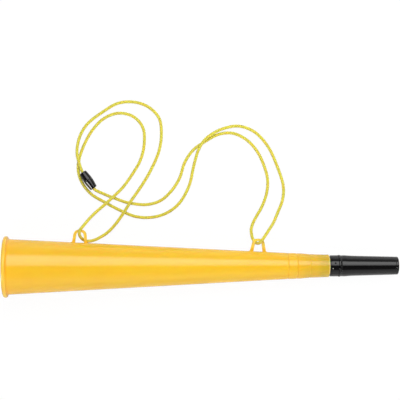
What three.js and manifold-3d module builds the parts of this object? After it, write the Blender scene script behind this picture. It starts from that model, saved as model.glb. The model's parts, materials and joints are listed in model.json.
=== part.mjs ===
// A plastic fan horn of the vuvuzela kind, lying on a table with its neck cord.
// The horn lies along +X, bell at -X and mouthpiece at +X, with its cord lugs towards +Y.
// It rests on the bell rim and on the lips end of the mouthpiece, and the origin is
// under the middle of the horn, on the table. Millimetres, +Z up.

import * as THREE from 'three';
import { mergeVertices } from 'three/addons/utils/BufferGeometryUtils.js';
import Module from 'manifold-3d';

// Driving dimensions, in millimetres.

const CLEARANCE = 0.3; // gap between pieces that touch or slide
const OVERRUN = 1; // how far a cutting solid runs past the face it cuts
const WELD = 1e-4; // distance under which two vertices are one

const rim = {
  diameter: 58.8, // over the rolled bead
  beadWidth: 4, // along the axis
  faceWidth: 1.7, // flat band at the front of the bead
  mouthRounding: 1.3, // inside edge of the bell
  backFillet: 1.7, // run-out from the bead to the cone
};

const cone = {
  length: 270.6, // rim face to the first neck groove
  frontDiameter: 53.5, // outside, carried through to the rim face
  backDiameter: 25.4, // outside, where the neck starts
  wall: 1.8,
};

const neck = {
  length: 41.9, // first groove to the open end
  endDiameter: 21.9,
  bore: 18.7, // parallel seat of the mouthpiece
  seatDepth: 12.5,
  endRounding: 0.8,
};

const leftLug = {
  station: 72, // from the rim face, along the horn
  baseWidth: 14,
  shoulderWidth: 13.2,
  height: 12.6, // crown above the horn's wall
  crown: 7.4, // height of the rounded top
  legWidth: 2.8,
  crownWidth: 2.4,
  thickness: 2.4,
  flare: 2.2, // web that spreads each foot on the wall
};

const rightLug = {
  station: 243.6,
  baseWidth: 15,
  shoulderWidth: 11.8,
  height: 12.4,
  crown: 4.6,
  legWidth: 2.7,
  crownWidth: 2.3,
  thickness: 2.4,
  flare: 1.9,
};

const lugMoulding = {
  edgeRounding: 0.45,
  rootDepth: 1.2, // how deep the feet sit in the wall
};

const socket = {
  collarLength: 8.5,
  collarDiameter: 20.5,
  rearGrooveLength: 1,
  rearGrooveDepth: 0.35,
  edgeChamfer: 0.3,
  spigotLength: 9.8, // into the neck
  frontSpigotLength: 11.4, // into the mouth tube
  wall: 1.6,
  reedSeatLength: 17.6, // bore for the reed, from the front
};

const mouldMarks = {
  dimpleDiameter: 1.7,
  dimpleDepth: 0.5,
  dimpleAlong: 4.9, // from the collar's rear face
  dimpleTurn: 17.5, // degrees from the top, towards the lugs
  nubDiameter: 0.9,
  nubHeight: 0.25,
  nubAlong: 2.5,
  nubTurn: -11,
};

const tube = {
  length: 58.4,
  ridgeDiameter: 21.1,
  ridgeWidth: 1.9,
  ridgeChamfer: 0.45,
  necking: 20.15, // outside diameter behind the ridge
  hipDiameter: 20.5,
  hipAlong: 5.4, // from the seam
  lipsDiameter: 17.4,
  lipsGrooveWidth: 0.6,
  lipsGrooveDepth: 0.22,
  lipsRingWidth: 2.3,
  lipsRounding: 0.8,
  mouthBore: 13.2,
  wall: 1.75, // round the front spigot
  innerRounding: 0.5,
};

const reed = {
  plugLength: 10,
  stemDiameter: 9.6,
  stemLength: 26,
  channelDiameter: 5.8,
  endWall: 2.4,
  flatHeight: 1.3, // the reed's table, above the axis
  slotWidth: 4.2,
  slotLength: 17,
  slotFromTip: 3.6,
};

const tongue = {
  thickness: 0.45,
  width: 6.6,
  length: 24,
  startAlong: 0.9, // from the front of the reed's plug
  lift: 1.1, // how far the free end stands off the table
};

const clamp = {
  length: 4.4,
  startAlong: 0.6,
  diameter: 12.2,
};

const connector = {
  length: 18.8,
  hipDiameter: 9,
  endDiameter: 7.4,
  endRounding: 0.7,
  endWall: 1.6,
  seatBore: 6.6, // in the socket half
  seatDepth: 5,
  spigotDiameter: 5.7,
  spigotLength: 4.3,
  snapHeight: 0.15,
  snapLength: 1.1,
  innerBore: 4.5,
  stopDiameter: 4,
  stopLength: 1.9,
};

const cord = { diameter: 3 };

// Where the connector lies: its middle, and its heading from the plug to the socket half.
const connectorPlace = { x: -111.1, y: 80, heading: 125.2 };

// Facets.

const HORN_SIDES = 48;
const MOUTHPIECE_SIDES = 40;
const INNER_SIDES = 24;
const PEG_SIDES = 12;
const CONNECTOR_SIDES = 20;
const CORD_SIDES = 8;
const ARC_STEPS = 3;
const LUG_CURVE_STEPS = 6;
const EDGE_STEPS = 2;

// The cord's route, chosen by hand, as it lies on the table and climbs to the lugs.

const cordRoutes = {
  // from the connector's socket half, round the outer bend, to the left lug's leg
  cord_left: [
    [-115.56, 86.37, 4.5], [-117.1, 88.7, 4.5], [-119.8, 96.5, 5], [-121.9, 105.4, 5],
    [-121.7, 114.4, 2.8], [-118.7, 125.1, 1.6], [-112, 135.4, 1.6], [-97.3, 146.9, 1.6],
    [-82.1, 155.5, 1.6], [-66.1, 156.6, 1.6], [-51.9, 151.5, 1.6], [-42, 140.9, 1.6],
    [-39.7, 126.8, 1.6], [-41.8, 109.7, 1.6], [-49.6, 90.9, 1.6], [-59.5, 74, 2.8],
    [-68.8, 60.5, 5.1], [-76.2, 48.6, 5.3], [-84.2, 37.3, 6.8], [-92, 29, 10],
    [-102.1, 22.8, 15.5], [-104.6, 21.9, 16.9],
  ],
  // up through the left lug, over its crown and round the inner bend, to under the crossing
  cord_loop: [
    [-104.86, 21.83, 17.04], [-107, 21.25, 18.19], [-111.7, 21.4, 20.4], [-115, 23.4, 23],
    [-116.8, 26, 25.6], [-117.3, 28.7, 28], [-116.7, 31.8, 29.1], [-114.5, 34.7, 28.9],
    [-112.1, 37.8, 26.9], [-107.6, 43.5, 22], [-101.7, 49.8, 15], [-94.8, 56.1, 9.2],
    [-87, 63.5, 5.4], [-77.6, 72.9, 2.8], [-69.1, 84.6, 1.6], [-60.2, 100, 1.6],
    [-56.5, 116.1, 1.6], [-58, 132, 1.6], [-67.7, 142.7, 1.6], [-82.4, 145.7, 1.6],
    [-96.2, 140.4, 1.6], [-107.2, 129.2, 1.6], [-115, 115.5, 1.6], [-119.65, 103.2, 1.6],
    [-120.42, 99.25, 1.6],
  ],
  // past the connector, across to the outer bend on the right, and into the right lug
  cord_span: [
    [-120.48, 98.95, 1.6], [-121.31, 94.7, 1.6], [-120.2, 84.6, 1.6], [-115.9, 75.2, 1.6],
    [-108.1, 66.3, 1.6], [-95.2, 58.6, 1.6], [-80, 50.6, 1.6], [-64.9, 44.6, 1.6],
    [-49.4, 43.8, 1.6], [-35.1, 47.8, 1.6], [-22.5, 57.3, 1.6], [-12.6, 74.7, 1.6],
    [-7.8, 95.1, 1.8], [-3.4, 109.6, 4.3], [2.2, 118.9, 5], [10.5, 125.6, 4.8],
    [21.4, 130.7, 3.9], [35.9, 133.1, 1.7], [51.3, 127.5, 1.6], [64.6, 113.2, 1.6],
    [73.8, 93.4, 1.6], [79.7, 74, 1.6], [78.9, 60.9, 1.9], [74.1, 48.9, 5.4],
    [69.4, 38.8, 11.2], [65.4, 32.8, 16.4], [62.6, 28.9, 19.4], [60.1, 25.3, 21],
    [57.9, 22.1, 20.8], [56, 19.8, 18.9], [54.2, 18.9, 16.1], [52.2, 19.4, 13.4],
    [50.38, 21.1, 11.3], [49.96, 21.98, 10.81],
  ],
  // down from the right lug, round the inner bend and back to under the other strand
  cord_right: [
    [49.84, 22.22, 10.67], [49.2, 23.55, 9.93], [48.3, 27.4, 8.3], [48, 32.4, 6.4],
    [50, 38.5, 4], [53.5, 45.1, 2.1], [58.2, 53.3, 1.6], [63, 66, 1.6], [64.3, 80.4, 1.6],
    [60.6, 94.8, 1.6], [53.8, 108.7, 1.6], [43.4, 119.9, 1.6], [30.1, 126.1, 1.6],
    [16.4, 125, 1.6], [3.4, 118.2, 1.6], [-8.3, 109.9, 1.6], [-16.7, 97.9, 1.6],
    [-22, 82, 1.6], [-30.1, 69.5, 1.6], [-40.7, 60.1, 1.6], [-53.9, 56.3, 1.6],
    [-66.83, 57.09, 1.6], [-70.6, 57.82, 1.6],
  ],
  // the last stretch, which the plug half pulls along
  cord_tail: [
    [-70.9, 57.88, 1.6], [-74.67, 58.61, 1.6], [-83.9, 61.9, 1.6], [-91.9, 64.9, 1.7],
    [-97.8, 67.5, 2.5], [-101.9, 69.3, 3.6], [-104.88, 71.14, 4.45], [-106.64, 73.63, 4.5],
  ],
};

// Solids: welding, turning, cutting and joining.

const wasm = await Module();
wasm.setup();

/** Position-only copy of a geometry with shared vertices and no collapsed triangles. */
function weld(geometry) {
  const bare = geometry.clone();
  bare.deleteAttribute('normal');
  bare.deleteAttribute('uv');
  const merged = mergeVertices(bare, WELD);
  const index = merged.index.array;
  const kept = [];
  for (let i = 0; i < index.length; i += 3) {
    const [a, b, c] = [index[i], index[i + 1], index[i + 2]];
    if (a !== b && b !== c && c !== a) kept.push(a, b, c);
  }
  merged.setIndex(kept);
  merged.computeVertexNormals();
  return merged;
}

/** Turns a closed geometry into a solid that can be cut and joined. */
function toSolid(geometry) {
  const welded = weld(geometry);
  return new wasm.Manifold(new wasm.Mesh({
    numProp: 3,
    vertProperties: new Float32Array(welded.attributes.position.array),
    triVerts: new Uint32Array(welded.index.array),
  }));
}

/** Turns a solid back into a geometry. */
function toGeometry(solid) {
  const mesh = solid.getMesh();
  const geometry = new THREE.BufferGeometry();
  geometry.setAttribute('position', new THREE.BufferAttribute(mesh.vertProperties, 3));
  geometry.setIndex(new THREE.BufferAttribute(mesh.triVerts, 1));
  geometry.computeVertexNormals();
  return geometry;
}

/** Body of revolution about X, from [station, radius] points that close on themselves. */
function revolve(outline, sides) {
  const points = outline.map(([station, radius]) => new THREE.Vector2(radius, station));
  const [first, last] = [points[0], points[points.length - 1]];
  if (first.x > 0 || last.x > 0) points.push(first.clone());
  return new THREE.LatheGeometry(points, sides).rotateZ(-Math.PI / 2);
}

/** Elliptical arc of outline points; the angles are in quarter turns. */
function arc(station, radius, reachAlong, reachOut, fromQuarter, toQuarter, steps = ARC_STEPS) {
  return Array.from({ length: steps + 1 }, (_, i) => {
    const angle = (fromQuarter + ((toQuarter - fromQuarter) * i) / steps) * (Math.PI / 2);
    return [station + reachAlong * Math.cos(angle), radius + reachOut * Math.sin(angle)];
  });
}

/** Flat outline pushed through a depth that is centred on z = 0. */
function plate(shape, depth, edge = 0) {
  const geometry = new THREE.ExtrudeGeometry(shape, {
    depth: depth - 2 * edge,
    bevelEnabled: edge > 0,
    bevelThickness: edge,
    bevelSize: edge,
    bevelOffset: -edge,
    bevelSegments: EDGE_STEPS,
    curveSegments: LUG_CURVE_STEPS,
  });
  return geometry.translate(0, 0, edge - depth / 2);
}

// The horn: cone, rim bead, stepped neck and two lugs, in one moulding.

const coneSlope = (cone.frontDiameter - cone.backDiameter) / 2 / cone.length;
const hornLength = cone.length + neck.length;

/** Outside radius of the plain cone at a distance from the rim face. */
const coneRadius = (station) => cone.frontDiameter / 2 - coneSlope * station;

// Outline of the neck: [share of its length, share of its drop in radius].
const neckShares = [
  [0, 0], [0.026, 0.06], [0.036, 0.3], [0.046, 0.1], [0.12, 0.1], [0.21, 0.16],
  [0.242, 0.2], [0.254, 0.44], [0.266, 0.27], [0.34, 0.25], [0.405, 0.42], [0.476, 0.58],
  [0.54, 0.7], [0.552, 0.9], [0.564, 0.75], [0.68, 0.84], [0.78, 0.925], [0.885, 1],
];

/** Outline of the neck, from the end of the cone to the rounded open end. */
function neckOutline() {
  const [start, end] = [cone.backDiameter / 2, neck.endDiameter / 2];
  const outline = neckShares.map(([along, drop]) => [
    cone.length + along * neck.length,
    start - drop * (start - end),
  ]);
  const rounding = neck.endRounding;
  return [...outline, ...arc(hornLength - rounding, end - rounding, rounding, rounding, 1, 0)];
}

// Where the bead runs out to the cone, in shares of its height and of its fillet.
const rimShares = { backStep: 0.3, filletRun: 0.33, filletRise: 0.17 };

/** Outline of the rolled bead, from the mouth's inner edge over the rim to the cone. */
function rimOutline() {
  const half = rim.beadWidth / 2;
  const faceRadius = coneRadius(0) - cone.wall + rim.mouthRounding;
  const beadBase = faceRadius + rim.faceWidth;
  const backStation = rim.beadWidth + rim.backFillet;
  const beadBack = coneRadius(rim.beadWidth) + (rim.diameter / 2 - coneRadius(0)) * rimShares.backStep;
  return [
    ...arc(half, beadBase, half, rim.diameter / 2 - beadBase, 2, 1, 2 * ARC_STEPS),
    ...arc(half, beadBack, half, rim.diameter / 2 - beadBack, 1, 0).slice(1),
    [
      rim.beadWidth + rim.backFillet * rimShares.filletRun,
      coneRadius(backStation) + rim.backFillet * rimShares.filletRise,
    ],
    [backStation, coneRadius(backStation)],
  ];
}

/** Inside of the horn, from the parallel seat in the neck out to the mouth. */
function boreOutline() {
  const seatRadius = neck.bore / 2;
  const lead = neck.bore / 2 + neck.endRounding / 2;
  const seatStart = hornLength - neck.seatDepth;
  const rounding = rim.mouthRounding;
  const mouthRadius = coneRadius(rounding) - cone.wall;
  return [
    [hornLength, lead],
    [hornLength - neck.endRounding / 2, seatRadius],
    [seatStart, seatRadius],
    [cone.length, cone.backDiameter / 2 - cone.wall],
    ...arc(rounding, mouthRadius + rounding, rounding, rounding, 3, 2),
  ];
}

/** Arch of a cord lug, its feet on y = 0 and its crown along +Y. */
function lugShape(lug) {
  const foot = lug.baseWidth / 2;
  const shoulder = lug.shoulderWidth / 2;
  const shoulderHeight = lug.height - lug.crown;
  const root = lugMoulding.rootDepth;
  const shape = new THREE.Shape();
  shape.moveTo(foot + lug.flare, -root);
  shape.lineTo(foot + lug.flare, 0);
  shape.quadraticCurveTo(foot, 0, foot, lug.flare);
  shape.lineTo(shoulder, shoulderHeight);
  shape.quadraticCurveTo(shoulder, lug.height, 0, lug.height);
  shape.quadraticCurveTo(-shoulder, lug.height, -shoulder, shoulderHeight);
  shape.lineTo(-foot, lug.flare);
  shape.quadraticCurveTo(-foot, 0, -foot - lug.flare, 0);
  shape.lineTo(-foot - lug.flare, -root);
  const innerFoot = foot - lug.legWidth;
  const innerShoulder = shoulder - lug.legWidth;
  const innerTop = lug.height - lug.crownWidth;
  shape.lineTo(-innerFoot, -root);
  shape.lineTo(-innerFoot, 0);
  shape.lineTo(-innerShoulder, shoulderHeight);
  shape.quadraticCurveTo(-innerShoulder, innerTop, 0, innerTop);
  shape.quadraticCurveTo(innerShoulder, innerTop, innerShoulder, shoulderHeight);
  shape.lineTo(innerFoot, 0);
  shape.lineTo(innerFoot, -root);
  shape.closePath();
  return shape;
}

/** A lug, seated on the side of the cone and following its slope. */
function lugSolid(lug) {
  const geometry = plate(lugShape(lug), lug.thickness, lugMoulding.edgeRounding);
  geometry.rotateZ(-Math.atan(coneSlope));
  geometry.translate(lug.station, coneRadius(lug.station), 0);
  return toSolid(geometry);
}

function hornGeometry() {
  const wall = toSolid(revolve([...rimOutline(), ...neckOutline(), ...boreOutline()], HORN_SIDES));
  return toGeometry(wall.add(lugSolid(leftLug)).add(lugSolid(rightLug)));
}

// The mouthpiece's socket: spigot in the neck, collar, and spigot for the mouth tube.

const collarStart = hornLength + CLEARANCE;
const seamStation = collarStart + socket.collarLength + CLEARANCE;
const rearSpigotDiameter = neck.bore - 2 * CLEARANCE;
const tubeSeatDiameter = tube.hipDiameter - 2 * tube.wall;
const frontSpigotDiameter = tubeSeatDiameter - 2 * CLEARANCE;
const reedSeatDiameter = frontSpigotDiameter - 2 * socket.wall;
const rearBoreDiameter = reedSeatDiameter - socket.wall;
const frontSpigotEnd = collarStart + socket.collarLength + socket.frontSpigotLength;
const reedLedge = frontSpigotEnd - socket.reedSeatLength;

function socketOutline() {
  const collarEnd = collarStart + socket.collarLength;
  const collar = socket.collarDiameter / 2;
  const groove = collar - socket.rearGrooveDepth;
  const chamfer = socket.edgeChamfer;
  const rear = rearSpigotDiameter / 2;
  const front = frontSpigotDiameter / 2;
  const rearEnd = collarStart - CLEARANCE - socket.spigotLength;
  return [
    [rearEnd, rear - chamfer],
    [rearEnd + chamfer, rear],
    [collarStart, rear],
    [collarStart, groove],
    [collarStart + socket.rearGrooveLength, groove],
    [collarStart + socket.rearGrooveLength + chamfer, collar],
    [collarEnd - chamfer, collar],
    [collarEnd, collar - chamfer],
    [collarEnd, front],
    [frontSpigotEnd - chamfer, front],
    [frontSpigotEnd, front - chamfer],
    [frontSpigotEnd, reedSeatDiameter / 2],
    [reedLedge, reedSeatDiameter / 2],
    [reedLedge, rearBoreDiameter / 2],
    [rearEnd, rearBoreDiameter / 2],
  ];
}

/** A short round peg that stands across the collar's wall, turned about the axis. */
function collarPeg(diameter, base, top, along, turn) {
  const geometry = new THREE.CylinderGeometry(diameter / 2, diameter / 2, top - base, PEG_SIDES);
  geometry.rotateX(Math.PI / 2);
  geometry.translate(collarStart + along, 0, (top + base) / 2);
  geometry.rotateX(THREE.MathUtils.degToRad(-turn));
  return toSolid(geometry);
}

function socketGeometry() {
  const body = toSolid(revolve(socketOutline(), MOUTHPIECE_SIDES));
  const collar = socket.collarDiameter / 2;
  const marks = mouldMarks;
  const dimple = collarPeg(
    marks.dimpleDiameter, collar - marks.dimpleDepth, collar + OVERRUN, marks.dimpleAlong, marks.dimpleTurn,
  );
  const nub = collarPeg(
    marks.nubDiameter, collar - socket.wall / 2, collar + marks.nubHeight, marks.nubAlong, marks.nubTurn,
  );
  return toGeometry(body.subtract(dimple).add(nub));
}

// The mouth tube: seam ridge, hip, long taper, and a rounded ring at the lips.

const tubeEnd = seamStation + tube.length;

// Outline of the long taper: [share of its length, share of its drop in radius].
const taperShares = [
  [0, 0], [0.04, 0.06], [0.08, 0.18], [0.14, 0.3], [0.26, 0.42], [0.46, 0.58], [0.73, 0.79], [1, 1],
];

// The groove at the lips, in shares of its width and of its depth.
const lipsGrooveShares = { along: 0.33, shoulder: 0.33 };

function tubeOutline() {
  const ridge = tube.ridgeDiameter / 2;
  const necking = tube.necking / 2;
  const hip = tube.hipDiameter / 2;
  const lips = tube.lipsDiameter / 2;
  const hipStation = seamStation + tube.hipAlong;
  const neckingEnd = (seamStation + tube.ridgeWidth + hipStation) / 2;
  const ringStart = tubeEnd - tube.lipsRingWidth;
  const grooveStart = ringStart - tube.lipsGrooveWidth;
  const taperLength = grooveStart - hipStation;
  const rounding = tube.lipsRounding;
  const inner = tube.innerRounding;
  const mouth = tube.mouthBore / 2;
  const seat = tubeSeatDiameter / 2;
  const seatEnd = frontSpigotEnd + CLEARANCE;
  return [
    [seamStation, ridge - tube.ridgeChamfer],
    [seamStation + tube.ridgeChamfer, ridge],
    [seamStation + tube.ridgeWidth - tube.ridgeChamfer, ridge],
    [seamStation + tube.ridgeWidth, necking + tube.ridgeChamfer / 2],
    [neckingEnd, necking],
    ...taperShares.map(([along, drop]) => [
      hipStation + along * taperLength,
      hip - drop * (hip - lips),
    ]),
    [grooveStart + tube.lipsGrooveWidth * lipsGrooveShares.along, lips - tube.lipsGrooveDepth],
    [ringStart, lips - tube.lipsGrooveDepth * lipsGrooveShares.shoulder],
    ...arc(tubeEnd - rounding, lips - rounding, rounding, rounding, 1, 0, 2 * ARC_STEPS),
    ...arc(tubeEnd - inner, mouth + inner, inner, inner, 4, 3),
    [seatEnd + tube.wall, (seat + mouth) / 2],
    [seatEnd, seat],
    [seamStation, seat],
  ];
}

// The reed: a plugged stem with a slotted table, a thin tongue over it, and its clamp.

const plugDiameter = reedSeatDiameter - 2 * CLEARANCE;
const plugStart = reedLedge + CLEARANCE;
const stemStart = plugStart + reed.plugLength;
const stemEnd = stemStart + reed.stemLength;

/** A box between two corners, each [x, y, z]. */
function block(low, high) {
  const size = high.map((value, axis) => value - low[axis]);
  const geometry = new THREE.BoxGeometry(...size);
  return toSolid(geometry.translate(...high.map((value, axis) => (value + low[axis]) / 2)));
}

function shallotGeometry() {
  const stem = reed.stemDiameter / 2;
  const channel = reed.channelDiameter / 2;
  const plug = plugDiameter / 2;
  const body = toSolid(revolve([
    [plugStart, channel],
    [plugStart, plug],
    [stemStart, plug],
    [stemStart, stem],
    ...arc(stemEnd - stem / 2, 0, stem / 2, stem, 1, 0, 2 * ARC_STEPS).slice(0, -1),
    [stemEnd, 0],
    [stemEnd - reed.endWall, 0],
    [stemEnd - reed.endWall, channel],
  ], INNER_SIDES));
  const table = block(
    [stemStart, -plug, reed.flatHeight],
    [stemEnd + OVERRUN, plug, plug],
  );
  const slotEnd = stemEnd - reed.slotFromTip;
  const slot = block(
    [slotEnd - reed.slotLength, -reed.slotWidth / 2, 0],
    [slotEnd, reed.slotWidth / 2, reed.flatHeight + OVERRUN],
  );
  return toGeometry(body.subtract(table).subtract(slot));
}

/** The tongue's side view: flat where it is clamped, then curling gently off the table. */
function tongueGeometry() {
  const base = reed.flatHeight + CLEARANCE;
  const start = stemStart + tongue.startAlong;
  const bendStart = stemStart + clamp.startAlong + clamp.length;
  const end = start + tongue.length;
  const middle = (bendStart + end) / 2;
  const shape = new THREE.Shape();
  shape.moveTo(start, base);
  shape.lineTo(bendStart, base);
  shape.quadraticCurveTo(middle, base, end, base + tongue.lift);
  shape.lineTo(end, base + tongue.lift + tongue.thickness);
  shape.quadraticCurveTo(middle, base + tongue.thickness, bendStart, base + tongue.thickness);
  shape.lineTo(start, base + tongue.thickness);
  shape.closePath();
  return plate(shape, tongue.width).rotateX(Math.PI / 2);
}

/** The clamp: a sleeve whose hole has a flat that presses on the tongue. */
function clampGeometry() {
  const hole = reed.stemDiameter / 2 + CLEARANCE;
  const flat = reed.flatHeight + tongue.thickness + 2 * CLEARANCE;
  const turn = Math.acos(flat / hole);
  const shape = new THREE.Shape().absarc(0, 0, clamp.diameter / 2, 0, 2 * Math.PI);
  shape.holes.push(new THREE.Path().absarc(0, 0, hole, turn, 2 * Math.PI - turn));
  const geometry = new THREE.ExtrudeGeometry(shape, {
    depth: clamp.length,
    bevelEnabled: false,
    curveSegments: INNER_SIDES / 2,
  });
  return geometry.rotateY(-Math.PI / 2);
}

// The connector, along X with its seam at x = 0: the socket half at +X, the plug half at -X.

// Outline of a half, from the seam: [share of its length, share of its drop in radius].
const barrelShares = [[0, 0], [0.12, 0.02], [0.3, 0.2], [0.6, 0.55], [0.85, 0.9]];

const halfLength = connector.length / 2;
const cordHole = cord.diameter / 2 + CLEARANCE;

/** Outside of a half barrel, from near the seam to its rounded end. */
function barrelOutline(seam) {
  const [hip, end] = [connector.hipDiameter / 2, connector.endDiameter / 2];
  const rounding = connector.endRounding;
  return [
    ...barrelShares.map(([along, drop]) => [
      seam + along * (halfLength - seam),
      hip - drop * (hip - end),
    ]),
    ...arc(halfLength - rounding, end - rounding, rounding, rounding, 1, 0),
    [halfLength, cordHole],
    [halfLength - connector.endWall, cordHole],
    [halfLength - connector.endWall, connector.innerBore / 2],
  ];
}

function connectorSocketGeometry() {
  const seam = CLEARANCE / 2;
  const outline = [
    ...barrelOutline(seam),
    [seam + connector.seatDepth, connector.innerBore / 2],
    [seam + connector.seatDepth, connector.seatBore / 2],
    [seam, connector.seatBore / 2],
  ];
  return revolve(outline, CONNECTOR_SIDES);
}

function connectorPlugGeometry() {
  const seam = CLEARANCE / 2;
  const spigot = connector.spigotDiameter / 2;
  const tip = seam - connector.spigotLength;
  const outline = [
    ...barrelOutline(seam),
    [tip, connector.innerBore / 2],
    [tip, spigot],
    [tip + connector.snapLength / 2, spigot + connector.snapHeight],
    [tip + connector.snapLength, spigot],
    [seam, spigot],
  ];
  return revolve(outline, CONNECTOR_SIDES).rotateZ(Math.PI);
}

/** The melted end of the cord, which can't pass the hole in the end wall. */
function cordStopGeometry() {
  const radius = connector.stopDiameter / 2;
  const end = halfLength - connector.endWall - CLEARANCE;
  const start = end - connector.stopLength;
  const rounding = radius / 2;
  return revolve([
    [start, 0],
    ...arc(start + rounding, radius - rounding, rounding, rounding, 2, 1),
    ...arc(end - rounding / 2, radius - rounding / 2, rounding / 2, rounding / 2, 1, 0),
    [end, 0],
  ], CONNECTOR_SIDES);
}

// The cord: a tube whose steps fall on the points of its route.

class CordRoute extends THREE.CatmullRomCurve3 {
  getPointAt(share, target) {
    return this.getPoint(share, target);
  }

  getTangentAt(share, target) {
    return this.getTangent(share, target);
  }
}

function cordGeometry(points) {
  const route = new CordRoute(points.map((point) => new THREE.Vector3(...point)));
  const radius = cord.diameter / 2;
  const section = Array.from({ length: CORD_SIDES }, (_, i) => {
    const angle = (2 * Math.PI * i) / CORD_SIDES;
    return new THREE.Vector2(radius * Math.cos(angle), radius * Math.sin(angle));
  });
  return new THREE.ExtrudeGeometry(new THREE.Shape(section), {
    steps: points.length - 1,
    bevelEnabled: false,
    extrudePath: route,
  });
}

// Materials and the assembly.

const yellowPlastic = new THREE.MeshStandardMaterial({ color: '#fcc433', roughness: 0.32, metalness: 0 });
const blackPlastic = new THREE.MeshStandardMaterial({ color: '#17171a', roughness: 0.3, metalness: 0 });
const reedPlastic = new THREE.MeshStandardMaterial({ color: '#e9e6da', roughness: 0.45, metalness: 0 });
const tonguePlastic = new THREE.MeshStandardMaterial({ color: '#d8d4c4', roughness: 0.4, metalness: 0 });
const yellowCord = new THREE.MeshStandardMaterial({ color: '#e2d446', roughness: 0.85, metalness: 0 });

/** A named mesh in its material. */
function piece(name, geometry, material) {
  const mesh = new THREE.Mesh(weld(geometry), material);
  mesh.name = name;
  return mesh;
}

/**
 * The angle of a straight table under two rounded edges: the rim bead, and the ring
 * at the lips, each given by the middle and the radius of its rounding.
 */
function restAngle() {
  const bead = rim.beadWidth / 2;
  const [run, drop] = [
    tubeEnd - tube.lipsRounding - bead,
    rim.diameter / 2 - bead - (tube.lipsDiameter / 2 - tube.lipsRounding),
  ];
  return Math.atan2(drop, run) + Math.asin((bead - tube.lipsRounding) / Math.hypot(run, drop));
}

const horn = new THREE.Group();
horn.add(
  piece('horn_cone', hornGeometry(), yellowPlastic),
  piece('mouthpiece_socket', socketGeometry(), blackPlastic),
  piece('mouth_tube', revolve(tubeOutline(), MOUTHPIECE_SIDES), blackPlastic),
  piece('reed_shallot', shallotGeometry(), reedPlastic),
  piece('reed_tongue', tongueGeometry(), tonguePlastic),
  piece('reed_clamp', clampGeometry(), blackPlastic),
);
horn.getObjectByName('reed_clamp').position.x = stemStart + clamp.startAlong + clamp.length;
horn.rotation.y = restAngle();

// The horn's own box is set on the table with its middle over the origin.
const bounds = new THREE.Box3().setFromObject(horn, true);
const middle = bounds.getCenter(new THREE.Vector3());
horn.position.set(-middle.x, -middle.y, -bounds.min.z);

const neckCord = new THREE.Group();
for (const [name, points] of Object.entries(cordRoutes)) {
  neckCord.add(piece(name, cordGeometry(points), yellowCord));
}

const barrel = new THREE.Group();
const plugSide = new THREE.Group();
plugSide.rotation.z = Math.PI;
barrel.add(
  piece('connector_socket', connectorSocketGeometry(), blackPlastic),
  piece('connector_plug', connectorPlugGeometry(), blackPlastic),
  piece('cord_stop_socket', cordStopGeometry(), yellowCord),
  plugSide.add(piece('cord_stop_plug', cordStopGeometry(), yellowCord)),
);
barrel.rotation.z = THREE.MathUtils.degToRad(connectorPlace.heading);
barrel.position.set(connectorPlace.x, connectorPlace.y, connector.hipDiameter / 2);

const vuvuzela = new THREE.Group();
vuvuzela.add(horn, neckCord, barrel);

export default vuvuzela;
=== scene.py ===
"""A plastic fan horn lying on a pale table, seen from straight above.

The horn is one yellow moulding with a beaded bell, a stepped neck and two cord lugs. A black
reed mouthpiece is pushed into its neck, and a braided cord runs through the lugs and is closed
by a black barrel connector. Sizes in the classes are in millimetres, and the studio's in metres.
The horn's pieces are made in its own axes, +X from the bell to the lips and +Y towards the lugs,
and then set in the frame.
"""

import json
import logging
import math
from dataclasses import dataclass, field
from enum import Enum
from typing import Any, Iterable, Sequence, Union

import bmesh
import bpy
from mathutils import Matrix, Vector

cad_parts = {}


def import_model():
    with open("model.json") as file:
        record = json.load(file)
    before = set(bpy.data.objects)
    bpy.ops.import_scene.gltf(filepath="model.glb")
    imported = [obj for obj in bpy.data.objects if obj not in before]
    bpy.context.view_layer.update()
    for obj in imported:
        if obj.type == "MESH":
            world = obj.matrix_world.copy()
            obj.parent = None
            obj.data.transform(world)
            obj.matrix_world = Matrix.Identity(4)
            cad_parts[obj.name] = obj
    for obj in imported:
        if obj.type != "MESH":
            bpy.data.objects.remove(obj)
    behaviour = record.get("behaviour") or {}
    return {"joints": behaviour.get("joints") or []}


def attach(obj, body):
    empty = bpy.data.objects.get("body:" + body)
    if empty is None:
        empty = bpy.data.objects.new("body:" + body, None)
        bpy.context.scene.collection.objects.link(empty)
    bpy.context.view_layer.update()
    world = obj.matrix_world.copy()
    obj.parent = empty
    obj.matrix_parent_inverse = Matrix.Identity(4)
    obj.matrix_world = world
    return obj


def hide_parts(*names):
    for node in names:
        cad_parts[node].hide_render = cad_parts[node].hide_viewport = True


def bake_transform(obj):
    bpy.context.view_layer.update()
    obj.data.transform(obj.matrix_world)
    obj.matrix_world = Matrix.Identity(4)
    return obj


frame: dict[str, Any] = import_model()

LOG = logging.getLogger("fan_horn")

MM = 0.001  # in metres
CLEARANCE = 0.3  # gap between pieces that touch or slide
OVERRUN = 1.0  # how far a cutting solid runs past the face it cuts
WELD = 1e-5  # points closer than this are one
SMOOTH_BELOW = math.radians(32)  # edges sharper than this stay crisp
CORNER_SHARE = 0.45  # of a side of an outline that the round of its corner may take
CORNER_STEPS = 5  # straight pieces in that round
BEND_STEPS = 14  # straight pieces in a bend of a flat outline
BEAD_STEPS, TIP_STEPS, EDGE_STEPS = 16, 10, 8  # straight pieces in the arcs, largest first
ROUTE_STEPS = 10  # straight pieces between two points of a cord's route
WHITE = (1.0, 1.0, 1.0, 1.0)
MEAN_NOISE = 0.5  # what noise varies about

Pair = tuple[float, float]
Point = tuple[float, float, float]
Colour = tuple[float, float, float]
Number = Union[float, "Signal"]
Key = Union[int, str]
Values = dict[Key, Any]
Look = tuple[Values, "Signal"]


class Joining(Enum):
    """How one solid meets another."""

    ADD = "UNION"
    CUT = "DIFFERENCE"


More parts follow.
